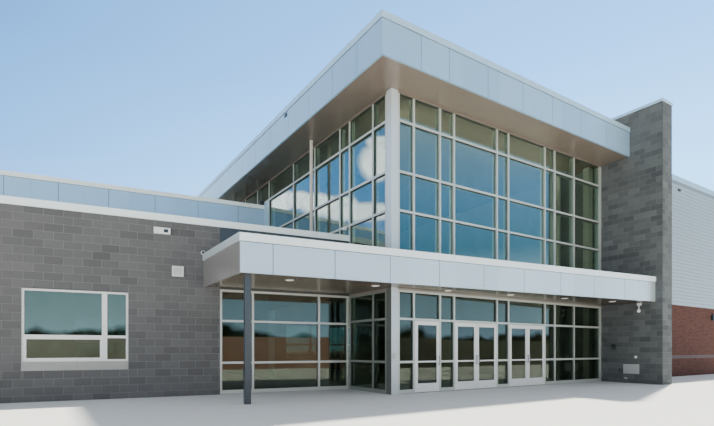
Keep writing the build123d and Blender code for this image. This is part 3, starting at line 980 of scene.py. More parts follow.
@dataclass
class Coursing:
    """Masonry laid in running bond on a wall's face.

    Attributes:
        unit: Length of a block or brick with its joint.
        course: Height of a course with its joint.
        joint: Width of a joint.
        proud: How far the units stand out of the mortar.
        start: Level of the first bed joint.
        finish: Name of the units' finish.
        seed: Where the random tones start.
        spread: Both shape numbers of the tones' beta distribution.
    """

    unit: float = 0.4064
    course: float = 0.2032
    joint: float = 0.0105
    proud: float = 0.003
    start: float = -0.045
    finish: str = "block_face"
    seed: int = 7
    spread: Spot = (2.2, 2.0)

    def spans(self, wall: Wall) -> np.ndarray:
        """Unit rectangles of a wall: a grid with every second course shifted by half a unit.

        Args:
            wall: The face.

        Returns:
            Rows of (left, right, low, high).
        """
        unit = wall.unit or self.unit
        first = math.floor((wall.low - self.start) / self.course)
        rows = np.arange(first, (wall.high - self.start) / self.course)
        columns = np.arange(-2, wall.length / unit + 1)
        row, column = np.meshgrid(rows, columns, indexing="ij")
        left = (column + (row % 2) / 2) * unit + wall.shift
        low = self.start + row * self.course
        spans = np.stack([left, left + unit, low, low + self.course], axis=-1).reshape(-1, 4)
        spans[:, :2] = np.clip(spans[:, :2], 0, wall.length)
        spans[:, 2:] = np.clip(spans[:, 2:], wall.low, wall.high)
        least = self.joint * 2
        keep = (spans[:, 1] - spans[:, 0] > least) & (spans[:, 3] - spans[:, 2] > least)
        spans = spans[keep]
        for hole in wall.holes:
            spans = cut_hole(spans, hole, least)
        return spans

    def lay(self, wall: Wall, finishes: Finishes, slot: str) -> None:
        """Lay the units of one wall, which pass its ends by what they stand out, each in a tone.

        Args:
            wall: The face.
            finishes: The building's finishes.
            slot: The record's slot of the units' material; not used.
        """
        spans = self.spans(wall)
        half, near = self.joint / 2, 1e-6
        spans[:, 0] += np.where(spans[:, 0] < near, -self.proud, half)
        spans[:, 1] -= np.where(spans[:, 1] > wall.length - near, -self.proud, half)
        spans[:, 2] += half
        spans[:, 3] -= half
        rng = np.random.default_rng(self.seed)
        tones = rng.beta(*self.spread, len(spans)).repeat(len(BOX_FACES))
        depths = (-self.proud, self.proud)
        add_boxes(wall.name, wall, spans, depths, finishes[self.finish], tones)


# How far behind the hall's front the wing's front meets its side, and that corner
WING_SETBACK = 2.258
WING = Vector((FACE, FACE + WING_SETBACK))


def wing_spot(x: float, y: float) -> Spot:
    """Plan point of the wing: x along its front from the inside corner, y into it.

    Args:
        x: Distance along the front.
        y: Distance into the wing.

    Returns:
        The point's X and Y.
    """
    along, into = Axis.WING.value, Axis.WING_SIDE.value
    return (WING.x + x * along[0] + y * into[0], WING.y + x * along[1] + y * into[1])


@dataclass
class SchoolWalls:
    """Outer faces of the masonry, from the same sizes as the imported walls.

    Attributes:
        window: Width of a window, level of its sill's foot and level of its head.
        upper_low: Level of the upper windows' sills.
        wing_length: Length of the wing's front, its glazed screen included.
        screen: Length of that screen.
        wing_depth: Depth of the wing.
        wing_top: Top of the wing's blocks.
        roof_top: Top of the blocks under the upper storey.
        band: How far in the upper storey's front stands.
        front_windows: Left edges of the windows in the wing's front.
        left_windows: Left edges of those in its left wall.
        back_windows: Left edges of those in its back.
        hall_windows: Left edges of those in the hall's back, on both storeys.
        front_unit: Length of a block of the wing's front with its joint.
        front_shift: Where that front's first upright joint stands.
    """

    window: Triple = (2.351, 0.767, 2.797)
    upper_low: float = 4.985
    wing_length: float = 14.4
    screen: float = 4.1
    wing_depth: float = 13.4
    wing_top: float = 4.798
    roof_top: float = 4.55
    band: float = 7.17
    front_windows: tuple[float, ...] = (5.579, 1.379)
    left_windows: tuple[float, ...] = (3.2, 8.3)
    back_windows: tuple[float, ...] = (1.5, 5.7, 9.9)
    hall_windows: tuple[float, ...] = (1.1, 4.163, 7.226)
    front_unit: float = 0.4225
    front_shift: float = 0.335

    def hole(self, left: float, low: float | None = None) -> Span:
        """A window and its sill as a hole in a face.

        Args:
            left: Its left edge.
            low: Level of its sill, if not the usual one.

        Returns:
            Its left, right, low and high.
        """
        width, foot, head = self.window
        low = foot if low is None else low
        return (left, left + width, low, low + head - foot)

    def blocks(self) -> list[Wall]:
        """Block-built faces of the wing, the hall's back and the fin.

        Returns:
            The faces with their holes.
        """
        fin_low, fin_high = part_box("fin_wall")
        back_low, back_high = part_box("hall_back_wall")
        gym_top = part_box("gym_coping")[1].z
        width, depth = fin_high.x - fin_low.x, fin_high.y - fin_low.y
        storey = (self.band, self.wing_depth + PAST, self.roof_top, self.wing_top + PAST)
        beside = (FACE - fin_low.y, depth + PAST, -PAST, gym_top)
        sills = (None, self.upper_low)
        hall_holes = tuple(self.hole(left, low) for left in self.hall_windows for low in sills)
        edges = (self.front_windows, self.left_windows, self.back_windows)
        front, left, back = (tuple(map(self.hole, row)) for row in edges)
        start, back_start = wing_spot(-self.wing_length, 0), wing_spot(-self.wing_length, self.wing_depth)
        wing_front = self.wing_length - self.screen
        wing_back = self.wing_length - self.wing_depth * math.tan(SKEW)
        fin = (fin_low.x, fin_low.y)
        grid = (self.front_unit, self.front_shift)
        rows = [
            ("wing_front", start, Facing.WING_FRONT, wing_front, 0.0, self.wing_top, front, *grid),
            ("wing_left", start, Facing.WING_LEFT, self.wing_depth, 0.0, self.wing_top, (*left, storey)),
            ("wing_back", back_start, Facing.WING_BACK, wing_back, 0.0, self.roof_top, back),
            (
                "hall_back", (back_low.x, back_high.y), Facing.BACK,
                back_high.x - back_low.x, 0.0, back_high.z, hall_holes,
            ),
            ("fin_left", fin, Facing.LEFT, depth, 0.0, fin_high.z),
            ("fin_front", fin, Facing.FRONT, width, 0.0, fin_high.z),
            ("fin_right", (fin_high.x, fin_low.y), Facing.RIGHT, depth, 0.0, fin_high.z, (beside,)),
            ("fin_back", (fin_low.x, fin_high.y), Facing.BACK, width, gym_top, fin_high.z),
        ]
        return [Wall(name + "_blocks", *row) for name, *row in rows]

    def right_wing(self, low: float, high: float, proud: float, label: str) -> list[Wall]:
        """The right wing's three outer faces between two levels.

        Args:
            low: Level of their foot.
            high: Level of their top.
            proud: How far they stand out of the brick.
            label: Last word of their names.

        Returns:
            Front, right and back faces.
        """
        base_low, base_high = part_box("gym_base")
        fin_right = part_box("fin_wall")[1].x
        right, back, front = base_high.x + proud, base_high.y + proud, base_low.y - proud
        rows = [
            ("front_", (fin_right, front), Facing.FRONT, right - fin_right),
            ("side_", (right, front), Facing.RIGHT, back - front),
            ("back_", (base_low.x, back), Facing.BACK, right - base_low.x),
        ]
        return [Wall("right_wing_" + name + label, *row, low, high) for name, *row in rows]

    def lay(self, finishes: Finishes) -> list[Wall]:
        """Lay the blocks, the bricks and the siding.

        Args:
            finishes: The building's finishes.

        Returns:
            The block-built faces.
        """
        walls = self.blocks()
        blocks = Coursing()
        for number, wall in enumerate(walls):
            blocks.seed = 7 + number
            # The fin's blocks take the darker finish, which paints shade on them
            blocks.finish = "fin_face" if wall.name.startswith("fin_") else "block_face"
            blocks.lay(wall, finishes, "block")
        bricks = Coursing(0.2032, 0.0677, 0.009, 0.004, 0.0, "brick_face", 31)
        base_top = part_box("gym_base")[1]
        band_low, band_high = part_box("gym_band")
        for wall in self.right_wing(0.0, base_top.z, 0.0, "bricks"):
            band = (-PAST, wall.length + PAST, band_low.z, band_high.z)
            bricks.lay(replace(wall, holes=(band,)), finishes, "brick")
        siding_low, siding_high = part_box("gym_siding")
        proud = siding_high.x - base_top.x
        for wall in self.right_wing(siding_low.z, siding_high.z, proud, "siding"):
            Siding().dress(wall, finishes)
        return walls


@dataclass
class Siding:
    """Horizontal ribs of the right wing's metal siding.

    Attributes:
        pitch: Height from rib to rib.
        flat: Height of a rib's flat face.
        slope: Height of each sloping edge.
        proud: How far a rib stands out.
    """

    pitch: float = 0.17
    flat: float = 0.116
    slope: float = 0.014
    proud: float = 0.012

    def dress(self, wall: Wall, finishes: Finishes) -> None:
        """One rib profile carried along the face: foot, flat and top edge for each pitch.

        Args:
            wall: The face.
            finishes: The building's finishes.
        """
        count = int((wall.high - wall.low) / self.pitch)
        foot = wall.low + np.arange(count) * self.pitch + (self.pitch - self.flat) / 2
        level = np.stack([foot - self.slope, foot, foot + self.flat, foot + self.flat + self.slope], 1)
        depth = np.tile([-MM, self.proud, self.proud, -MM], (2, count))
        x = np.tile([[0.0], [wall.length]], (1, level.size))
        z = np.tile(level.reshape(1, -1), (2, 1))
        verts = wall.points(x, z, depth).reshape(-1, 3)
        base = np.arange(count)[:, None] * 4
        total = count * 4
        quads = [base + np.array([a, a + total, (a + 1) % 4 + total, (a + 1) % 4]) for a in range(4)]
        caps = [base + np.array([0, 1, 2, 3]), base + np.array([3, 2, 1, 0]) + total]
        faces = wall.outward(np.concatenate(quads + caps))
        add_mesh(wall.name, verts, faces, finishes["siding_metal"])


def solid_groups(node: str) -> list[np.ndarray]:
    """Corner points of each separate solid of a CAD node.

    A triangle's corners take the least of their labels, round after round, until none changes.

    Args:
        node: The node's name.

    Returns:
        One array of points for each solid.
    """
    mesh = NODES[node].data
    points = np.empty(len(mesh.vertices) * 3, np.float32)
    mesh.vertices.foreach_get("co", points)
    points = points.reshape(-1, 3)
    corners = np.empty(len(mesh.loops), np.int32)
    mesh.loops.foreach_get("vertex_index", corners)
    _, same = np.unique(np.round(points, 4), axis=0, return_inverse=True)
    triangles = same.ravel()[corners].reshape(-1, 3)
    label = np.arange(same.max() + 1)
    while True:
        least = label[triangles].min(axis=1)
        spread = label.copy()
        np.minimum.at(spread, triangles.ravel(), least.repeat(3))
        spread = spread[spread]
        if (spread == label).all():
            break
        label = spread
    group = label[same.ravel()]
    return [points[group == value] for value in np.unique(group)]


@dataclass
class Gaskets:
    """Dark rubber edges round every pane, and dark linings of the bars in front of it, which are partly
    rubber and partly painted shade under the bars.

    The uprights are lined on the side wall alone. Elsewhere their bare metal shows.

    Attributes:
        width: Width that shows.
        proud: How far the rubber stands out of a door's or a window's glass.
        lining_and_shade: How far the dark strips along the bars, partly rubber and partly painted shade,
            stand out of the curtain wall's glass.
        bite: How deep the pane sits in its bars.
        thick: Most that a pane may be thick.
        near: How far from its wall's face a pane may lie.
        beyond: How far past the wall's ends it may reach.
    """

    width: float = 0.008
    proud: float = 0.004
    lining_and_shade: float = 0.032
    bite: float = 0.012
    thick: float = 0.04
    near: float = 0.2
    beyond: float = 0.1

    @staticmethod
    def walls(school: SchoolWalls) -> list[Wall]:
        """Faces that hold panes: the hall's front, side and back, and the wing's three.

        Args:
            school: The walls' sizes.

        Returns:
            The faces, the hall's front first.
        """
        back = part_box("hall_back_wall")[1].y
        width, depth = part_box("fin_wall")[0].x - FACE, back - FACE
        start = wing_spot(-school.wing_length, 0)
        back_start = wing_spot(-school.wing_length, school.wing_depth)
        return [
            Wall("front", (FACE, FACE), Facing.FRONT, width),
            Wall("side", (FACE, FACE), Facing.LEFT, depth),
            Wall("wing", start, Facing.WING_FRONT, school.wing_length),
            Wall("wing_left", start, Facing.WING_LEFT, school.wing_depth),
            Wall("wing_back", back_start, Facing.WING_BACK, school.wing_length),
            Wall("hall_back", (FACE, back), Facing.BACK, width),
        ]

    def frame(self, span: Span) -> np.ndarray:
        """Four strips inside a pane's rim, the lower and upper ones between the others.

        Args:
            span: Left, right, low and high of what shows of the pane.

        Returns:
            The strips, one a row.
        """
        left, right, low, high = span
        w = self.width
        return np.array(
            [
                [left, left + w, low, high],
                [right - w, right, low, high],
                [left + w, right - w, low, low + w],
                [left + w, right - w, high - w, high],
            ]
        )

    def dress(
        self,
        name: str,
        node: str,
        walls: Sequence[Wall],
        material: bpy.types.Material,
        bite: float,
        proud: float,
        body: str = BUILDING,
    ) -> None:
        """Put gaskets round the panes of a node, wall by wall.

        Args:
            name: Start of the pieces' names.
            node: The node that holds the panes.
            walls: Faces that the panes may belong to.
            material: The rubber.
            bite: How deep these panes sit in their bars.
            proud: How far the rubber stands out of these panes.
            body: The body that carries them.
        """
        made: dict[Wall, tuple[float, list[np.ndarray]]] = {}
        for points in solid_groups(node):
            for wall in walls:
                place = wall.local(points)
                low, high = place.min(0), place.max(0)
                flat = high[2] - low[2] < self.thick and abs(high[2]) < self.near
                if flat and low[0] > -self.beyond and high[0] < wall.length + self.beyond:
                    span = (low[0] + bite, high[0] - bite, low[1] + bite, high[1] - bite)
                    made.setdefault(wall, (high[2], []))[1].append(self.frame(span))
                    break
        for wall, (outer, frames) in made.items():
            spans = np.stack(frames)
            upright = proud if wall.name == "side" else min(proud, self.proud)
            verts, faces = box_grid(wall, spans[:, :2].reshape(-1, 4), outer - MM, outer + upright)
            more, others = box_grid(wall, spans[:, 2:].reshape(-1, 4), outer - MM, outer + proud)
            verts, faces = np.concatenate([verts, more]), np.concatenate([faces, others + len(verts)])
            add_mesh(f"{name}_gaskets_{wall.name}", verts, faces, material, body)

    def build(self, school: SchoolWalls, finishes: Finishes) -> None:
        """Gaskets of the curtain wall, the windows and the doors.

        Args:
            school: The walls' sizes.
            finishes: The building's finishes.
        """
        walls, rubber = self.walls(school), finishes["gasket_rubber"]
        # The curtain wall's panes get deep dark linings: partly rubber, partly painted shade
        for node in ("upper_glass", "lower_glass"):
            self.dress(node, node, walls, rubber, self.bite, self.lining_and_shade)
        self.dress("window", "window_glass", walls, rubber, 0.0, self.proud)
        for door in DOORS:
            self.dress(door, door + "_glass", walls[:1], rubber, self.bite, self.proud, door)


@dataclass
class PanelJoints:
    """Dark seals in the joints between panels, and a dark strip under each coping that paints its shadow.

    Attributes:
        width: Width of a joint.
        depth: Depth of a joint.
        fill: Thickness of its seal.
        coping_shadow: Height of the painted shadow strip under the coping.
        roof_front: Joints of the roof's front edge, from its left end.
        roof_side: First joints of the roof's left edge, from its front end.
        roof_rest: Where its even joints start and their pitch.
        canopy: First joint of the canopy's edge, the pitch and the limit.
        canopy_front: Y of the left end of the canopy's front edge.
        upper: First joint of the upper storey's faces from their right or left end, and the pitch.
        upper_back: Length of the upper storey's back.
    """

    width: float = 0.016
    depth: float = 0.014
    fill: float = 0.006
    coping_shadow: float = 0.014
    roof_front: tuple[float, ...] = (1.293, 2.31, 3.879, 5.481, 6.975, 8.575, 10.175)
    roof_side: tuple[float, ...] = (1.166, 2.487, 3.998)
    roof_rest: tuple[float, float] = (5.568, 1.56)
    canopy: Triple = (0.787, 1.599, 15.2)
    canopy_front: float = -0.336
    upper: tuple[float, float] = (1.187, 1.688)
    upper_back: float = 12.78

    def runs(self, school: SchoolWalls) -> list[tuple[Wall, Sequence[float]]]:
        """Faces that have panels, each with how far along it its joints stand.

        Args:
            school: The walls' sizes.

        Returns:
            Faces and joints of the roof's edge, the canopy and the upper storey.
        """
        nodes = ("roof_fascia", "canopy_fascia", "upper_front_wall")
        boxes = [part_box(node) for node in nodes]
        roof, canopy, _ = boxes
        roof_levels, canopy_levels, upper_levels = ((low.z, high.z) for low, high in boxes)
        fin_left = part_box("fin_wall")[0].x
        corner = (roof[0].x, roof[0].y)
        roof_depth = roof[1].y - roof[0].y
        canopy_corner = (canopy[0].x, self.canopy_front)
        canopy_length = (fin_left - canopy[0].x) / Axis.WING.value[0]
        start = wing_spot(-school.wing_length, school.band)
        back_start = wing_spot(-school.wing_length, school.wing_depth)
        left_length = school.wing_depth - school.band
        rest, rest_pitch = self.roof_rest
        first, canopy_pitch, limit = self.canopy
        edge, pitch = self.upper
        return [
            (
                Wall("roof_front_edge", corner, Facing.FRONT, fin_left - corner[0], *roof_levels),
                self.roof_front,
            ),
            (
                Wall("roof_side_edge", corner, Facing.LEFT, roof_depth, *roof_levels),
                [*self.roof_side, *np.arange(rest, roof_depth, rest_pitch)],
            ),
            (
                Wall("canopy_edge", canopy_corner, Facing.WING_FRONT, canopy_length, *canopy_levels),
                np.arange(first, limit, canopy_pitch),
            ),
            (
                Wall("upper_front", start, Facing.WING_FRONT, school.wing_length, *upper_levels),
                np.arange(school.wing_length - edge, 0.0, -pitch),
            ),
            (
                Wall("upper_left", start, Facing.WING_LEFT, left_length, *upper_levels),
                np.arange(pitch, left_length, pitch),
            ),
            (
                Wall("upper_back", back_start, Facing.WING_BACK, self.upper_back, *upper_levels),
                np.arange(edge, self.upper_back, pitch),
            ),
        ]

    def strips(self, wall: Wall, stations: Sequence[float]) -> np.ndarray:
        """Upright rectangles as wide as a joint, by their distance along the face.

        Args:
            wall: The face.
            stations: Where their middles stand.

        Returns:
            Rows of (left, right, low, high).
        """
        middle = np.asarray(stations)
        low, high = (np.full_like(middle, z) for z in (wall.low + self.coping_shadow / 4, wall.high - self.coping_shadow / 4))
        return np.stack([middle - self.width / 2, middle + self.width / 2, low, high], axis=1)

    def dress(self, school: SchoolWalls, finishes: Finishes) -> None:
        """Seal the joints of every run, and paint the shadow under its coping with a dark strip.

        On the upper storey's front the grooves are filled flush, and a thin dark joint stands
        midway between them.

        Args:
            school: The walls' sizes.
            finishes: The building's finishes.
        """
        seal, floor = finishes["joint_seal"], -self.depth - MM
        for wall, stations in self.runs(school):
            spans = self.strips(wall, stations)
            if wall.name == "upper_front":
                add_boxes(wall.name + "_fillers", wall, spans, (floor, 0.3 * MM), finishes["panel_filler"])
                spans = self.strips(wall, np.asarray(stations) - self.upper[1] / 2)
                add_boxes(wall.name + "_joints", wall, spans, (-MM, 0.8 * MM), seal)
            else:
                add_boxes(wall.name + "_seals", wall, spans, (floor, self.fill - self.depth), seal)
            # A dark strip under the coping: painted shadow of its lip
            shadow_strip = (0.0, wall.length, wall.high - self.coping_shadow, wall.high + MM)
            add_boxes(wall.name + "_coping_gap", wall, [shadow_strip], (-MM, 1.6 * MM), seal)


@dataclass
class WindowTrim:
    """Dark line over each window head, a painted shadow of the head, with weep slots, and the pale joint
    between the two sill stones.

    Attributes:
        slot: Width and height of a weep slot.
        pitch: Distance from slot to slot.
        inset: From the window's left edge to the first slot.
        line: Height of the painted shadow line over the head.
        joint: Half the width of the sill's joint.
        sill: Foot and head of that joint over the window's foot.
        dark_depths: Depths of the back and the front of line and slots, out of the wall.
        pale_depths: The same of the sill's joint.
    """

    slot: Spot = (0.02, 0.055)
    pitch: float = 0.8
    inset: float = 0.25
    line: float = 0.016
    joint: float = 0.004
    sill: Spot = (0.002, 0.213)
    dark_depths: Spot = (-4 * MM, 4.2 * MM)
    pale_depths: Spot = (0.0, 12.8 * MM)

    def build(self, walls: Iterable[Wall], finishes: Finishes) -> None:
        """For each window in a wall: a dark strip of painted shadow over its head, slots over it, a joint
        in its sill.

        Args:
            walls: The block-built faces.
            finishes: The building's finishes.
        """
        seal, mortar = finishes["joint_seal"], finishes["block_mortar"]
        for wall in walls:
            dark, pale = [], []
            windows = [hole for hole in wall.holes if hole[1] <= wall.length]
            for left, right, low, high in windows:
                # The dark strip over the head is painted shadow
                foot, middle = high + self.line, (left + right) / 2
                dark.append([left, right, high, foot])
                slots = np.arange(left + self.inset, right, self.pitch)
                dark += [[x, x + self.slot[0], foot, foot + self.slot[1]] for x in slots]
                levels = [low + level for level in self.sill]
                pale.append([middle - self.joint, middle + self.joint, *levels])
            if windows:
                add_boxes(wall.name + "_heads", wall, dark, self.dark_depths, seal)
                add_boxes(wall.name + "_sill_joints", wall, pale, self.pale_depths, mortar)


Profile = Sequence[tuple[float, float]]
# Angle over which a turned piece's edge is shaded sharp
SHARP = math.radians(40)


def lathe(
    name: str,
    profile: Profile,
    place: Sequence[float],
    toward: Sequence[float],
    material: bpy.types.Material,
    sides: int = 24,
) -> bpy.types.Object:
    """Turn a profile of (radius, height) about an axis: point = height up + radius round.

    Args:
        name: The piece's name.
        profile: Radii and heights; the first and last radius are zero.
        place: Where the axis starts.
        toward: Which way it points.
        material: Its finish.
        sides: Facets round the axis.

    Returns:
        The new object.
    """
    turn = Vector(toward).to_track_quat("Z", "Y").to_matrix().to_4x4()
    axis = Matrix.Translation(Vector(place)) @ turn
    radius, height = np.array(profile[1:-1]).T
    angle = np.linspace(0, 2 * math.pi, sides, endpoint=False)
    level = np.repeat(height[:, None], sides, 1)
    verts = np.stack([np.outer(radius, np.cos(angle)), np.outer(radius, np.sin(angle)), level], -1)
    ends = np.array([[0, 0, profile[0][1]], [0, 0, profile[-1][1]]])
    verts = np.concatenate([verts.reshape(-1, 3), ends])
    index = np.arange(len(radius) * sides).reshape(-1, sides)
    after = np.roll(index, -1, axis=1)
    quads = np.stack([index[:-1], after[:-1], after[1:], index[1:]], -1).reshape(-1, 4)
    foot, top = np.full(sides, index.size), np.full(sides, index.size + 1)
    low = np.stack([foot, after[0], index[0]], -1)
    high = np.stack([top, index[-1], after[-1]], -1)
    faces = [*quads.tolist(), *low.tolist(), *high.tolist()]
    mesh = bpy.data.meshes.new(name)
    turned = verts @ np.array(axis.to_3x3()).T + np.array(axis.translation)
    mesh.from_pydata(turned.tolist(), [], faces)
    mesh.polygons.foreach_set("use_smooth", [len(face) == 4 for face in faces])
    mesh.set_sharp_from_angle(angle=SHARP)
    return add_piece(name, mesh, material)


def soft_box(
    name: str, wall: Wall, span: Sequence[float], depths: Spot, material: bpy.types.Material, edge: float
) -> bpy.types.Object:
    """A housing on a wall with rounded edges, between two depths.

    Args:
        name: The piece's name.
        wall: The face that it stands on.
        span: Left, right, low and high.
        depths: Depth of its back and of its front.
        material: Its finish.
        edge: Radius of its edges.

    Returns:
        The new object.
    """
    piece = add_boxes(name, wall, [span], depths, material)
    bevel = piece.modifiers.new("round_edges", "BEVEL")
    bevel.width = edge
    bevel.segments = 2
    bevel.limit_method = "ANGLE"
    return piece


class Paint(Enum):
    """Finish of a small fixture."""

    WHITE = "frame_white"
    GREY = "fixture_grey"
    BLACK = "fixture_black"
    SLATE = "slate_paint"
    PALE = "pale_paint"


BoxRow = tuple[str, Span, Spot, Paint] | tuple[str, Span, Spot, Paint, float]


@dataclass
class Fixtures:
    """Small fixed things on the walls: lamps, covers, cameras and plates.

    Attributes:
        finishes: The building's finishes.
        edge: Usual radius of a housing's edges.
    """

    finishes: Finishes
    edge: float = 0.004

    def housings(self, wall: Wall, start: float, rows: Sequence[BoxRow]) -> None:
        """Rounded housings on a wall.

        Args:
            wall: The face that they stand on.
            start: Where the rows' places along it are measured from.
            rows: Name, span, depths, paint and, if not the usual one, radius of the edges.
        """
        for name, (left, right, low, high), depths, paint, *edge in rows:
            span = (start + left, start + right, low, high)
            soft_box(name, wall, span, depths, self.finishes[paint.value], *(edge or [self.edge]))

    def turned(
        self, name: str, profile: Profile, place: Sequence[float], toward: Sequence[float], paint: Paint
    ) -> None:
        """A turned piece in one of the fixtures' paints."""
        lathe(name, profile, place, toward, self.finishes[paint.value])

    def wing(self, wall: Wall, base: float) -> None:
        """Twin-headed lamp, grille cover and dome camera of the wing's front.

        Args:
            wall: The front's blocks.
            base: Length of the whole front.
        """
        rows = [
            ("wing_lamp_housing", (-5.85, -5.43, 4.43, 4.6), (0.0, 0.09), Paint.WHITE),
            ("wing_lamp_glass", (-5.6, -5.49, 4.47, 4.56), (0.085, 0.096), Paint.BLACK),
            ("wing_vent_cover", (-5.385, -5.086, 3.304, 3.586), (0.0, 0.05), Paint.WHITE),
        ]
        self.housings(wall, base, rows)
        slats = [[base - 5.355, base - 5.116, z, z + 0.012] for z in np.arange(3.34, 3.55, 0.024)]
        add_boxes("wing_vent_slats", wall, slats, (0.048, 0.056), self.finishes["fixture_grey"])
        spot = wall.points(np.array(base - 4.565), np.array(4.02), np.array(0.0))
        out = (*wall.facing.value[1], 0.0)
        collar = [(0, 0), (0.055, 0), (0.06, 0.01), (0.06, 0.035), (0.05, 0.05), (0, 0.05)]
        self.turned("wing_camera_collar", collar, spot, out, Paint.WHITE)
        bend = np.linspace(0, math.pi / 2, 6)[:-1]
        bowl = [(0.042 * math.cos(angle), 0.05 + 0.036 * math.sin(angle)) for angle in bend]
        self.turned("wing_camera_dome", [(0, 0.045), *bowl, (0, 0.086)], spot, out, Paint.BLACK)

    def fin(self, wall: Wall) -> None:
        """Door station, outlet, access cover and spot lamp on the fin's left face.

        Args:
            wall: The face's blocks.
        """
        rows = [
            ("door_station", (-0.715, -0.555, 1.3, 1.49), (0.0, 0.045), Paint.BLACK),
            ("door_station_face", (-0.69, -0.58, 1.33, 1.4), (0.042, 0.05), Paint.SLATE, 0.002),
            ("access_frame", (-1.606, -1.008, 0.358, 0.724), (0.0, 0.02), Paint.GREY),
            ("access_door", (-1.566, -1.048, 0.395, 0.69), (0.015, 0.028), Paint.GREY),
            ("low_plate", (-1.16, -1.05, 0.15, 0.21), (0.0, 0.014), Paint.GREY, 0.002),
            ("spot_bracket", (-1.69, -1.57, 2.96, 3.05), (0.0, 0.12), Paint.WHITE),
        ]
        self.housings(wall, -wall.corner[1], rows)
        left = wall.corner[0]
        bell = [(0, 0), (0.05, 0), (0.055, 0.012), (0.05, 0.04), (0.03, 0.05), (0, 0.052)]
        self.turned("outlet_cover", bell, (left, -1.48, 1.0), (-1, 0, 0), Paint.WHITE)
        stem = [(0, 0), (0.02, 0), (0.02, 0.2), (0, 0.2)]
        self.turned("spot_stem", stem, (left - 0.09, -1.63, 2.8), (0, 0, 1), Paint.WHITE)
        head = [(0, 0), (0.045, 0), (0.06, 0.03), (0.06, 0.15), (0.045, 0.17), (0, 0.17)]
        self.turned("spot_head", head, (left - 0.03, -1.58, 2.8), (-0.8, -0.5, -0.35), Paint.WHITE)

    def hall(self) -> None:
        """End post, card reader and camera of the hall, and the right wing's lamp and bracket."""
        front = Wall("front", (FACE, FACE), Facing.FRONT)
        rows = [
            ("end_post", (10.17, 10.43, 0.06, 8.72), (-0.55, -0.29), Paint.PALE),
            ("card_reader", (-0.07, 0.02, 1.03, 1.18), (0.0, 0.022), Paint.GREY),
            ("right_wing_lamp", (20.79, 21.05, 2.8, 3.1), (0.0, 0.12), Paint.BLACK),
            ("siding_bracket", (17.03, 17.27, 8.9, 8.99), (0.03, 0.1), Paint.BLACK),
        ]
        self.housings(front, -FACE, rows)
        side = Wall("side", (FACE, FACE), Facing.LEFT)
        rows = [("mullion_camera", (2.292, 2.392, 5.2, 5.29), (-0.005, 0.1), Paint.WHITE)]
        self.housings(side, -FACE, rows)

    def roof_edges(self) -> None:
        """Lamp at the roof's edge and flood lamp at the upper storey's end."""
        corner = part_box("roof_fascia")[0]
        roof = Wall("roof_side", (corner.x, corner.y), Facing.LEFT)
        rows = [("roof_lamp", (4.42, 4.62, 9.5, 9.62), (-0.005, 0.02), Paint.BLACK)]
        self.housings(roof, -corner.y, rows)
        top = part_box("upper_coping")[1].z
        flood = Wall("flood", wing_spot(-1.05, 7.2), Facing.WING_FRONT)
        rows = [
            ("flood_lamp", (0.0, 0.34, top + 0.04, top + 0.2), (-0.12, 0.06), Paint.BLACK, 0.01),
            ("flood_foot", (0.14, 0.2, top - 0.01, top + 0.06), (-0.08, -0.02), Paint.BLACK),
        ]
        self.housings(flood, 0.0, rows)

    def lamp_trims(self, sides: int = 32) -> None:
        """White rings round the canopy's downlights, hugging the soffit.

        A ring is a closed profile turned about an upright axis that it doesn't touch: point =
        radius round, drop down.

        Args:
            sides: Facets of a ring.
        """
        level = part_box("canopy_soffit")[0].z
        angle = np.linspace(0, 2 * math.pi, sides, endpoint=False)
        reach = np.array([-0.004, 0.022, 0.026, 0.02, -0.004])
        drop = np.array([0.0, 0.0, 0.004, 0.009, 0.012])
        index = np.arange(reach.size * sides).reshape(-1, sides)
        after = np.roll(index, -1, axis=1)
        faces = np.stack([index, np.roll(index, -1, axis=0), np.roll(after, -1, axis=0), after], -1)
        for number, points in enumerate(solid_groups("canopy_lights")):
            low, high = points.min(0), points.max(0)
            centre, radius = (low + high) / 2, (high[0] - low[0]) / 2 + reach
            x = centre[0] + np.outer(radius, np.cos(angle))
            y = centre[1] + np.outer(radius, np.sin(angle))
            z = np.repeat(level - drop[:, None], sides, 1)
            verts = np.stack([x, y, z], -1).reshape(-1, 3)
            white = self.finishes["frame_white"]
            add_mesh(f"downlight_trim_{number}", verts, faces.reshape(-1, 4), white, smooth=True)

    def build(self, school: SchoolWalls, walls: dict[str, Wall]) -> None:
        """All the fixtures.

        Args:
            school: The walls' sizes.
            walls: The block-built faces by name.
        """
        self.wing(walls["wing_front_blocks"], school.wing_length)
        self.fin(walls["fin_left_blocks"])
        self.hall()
        self.roof_edges()
        self.lamp_trims()


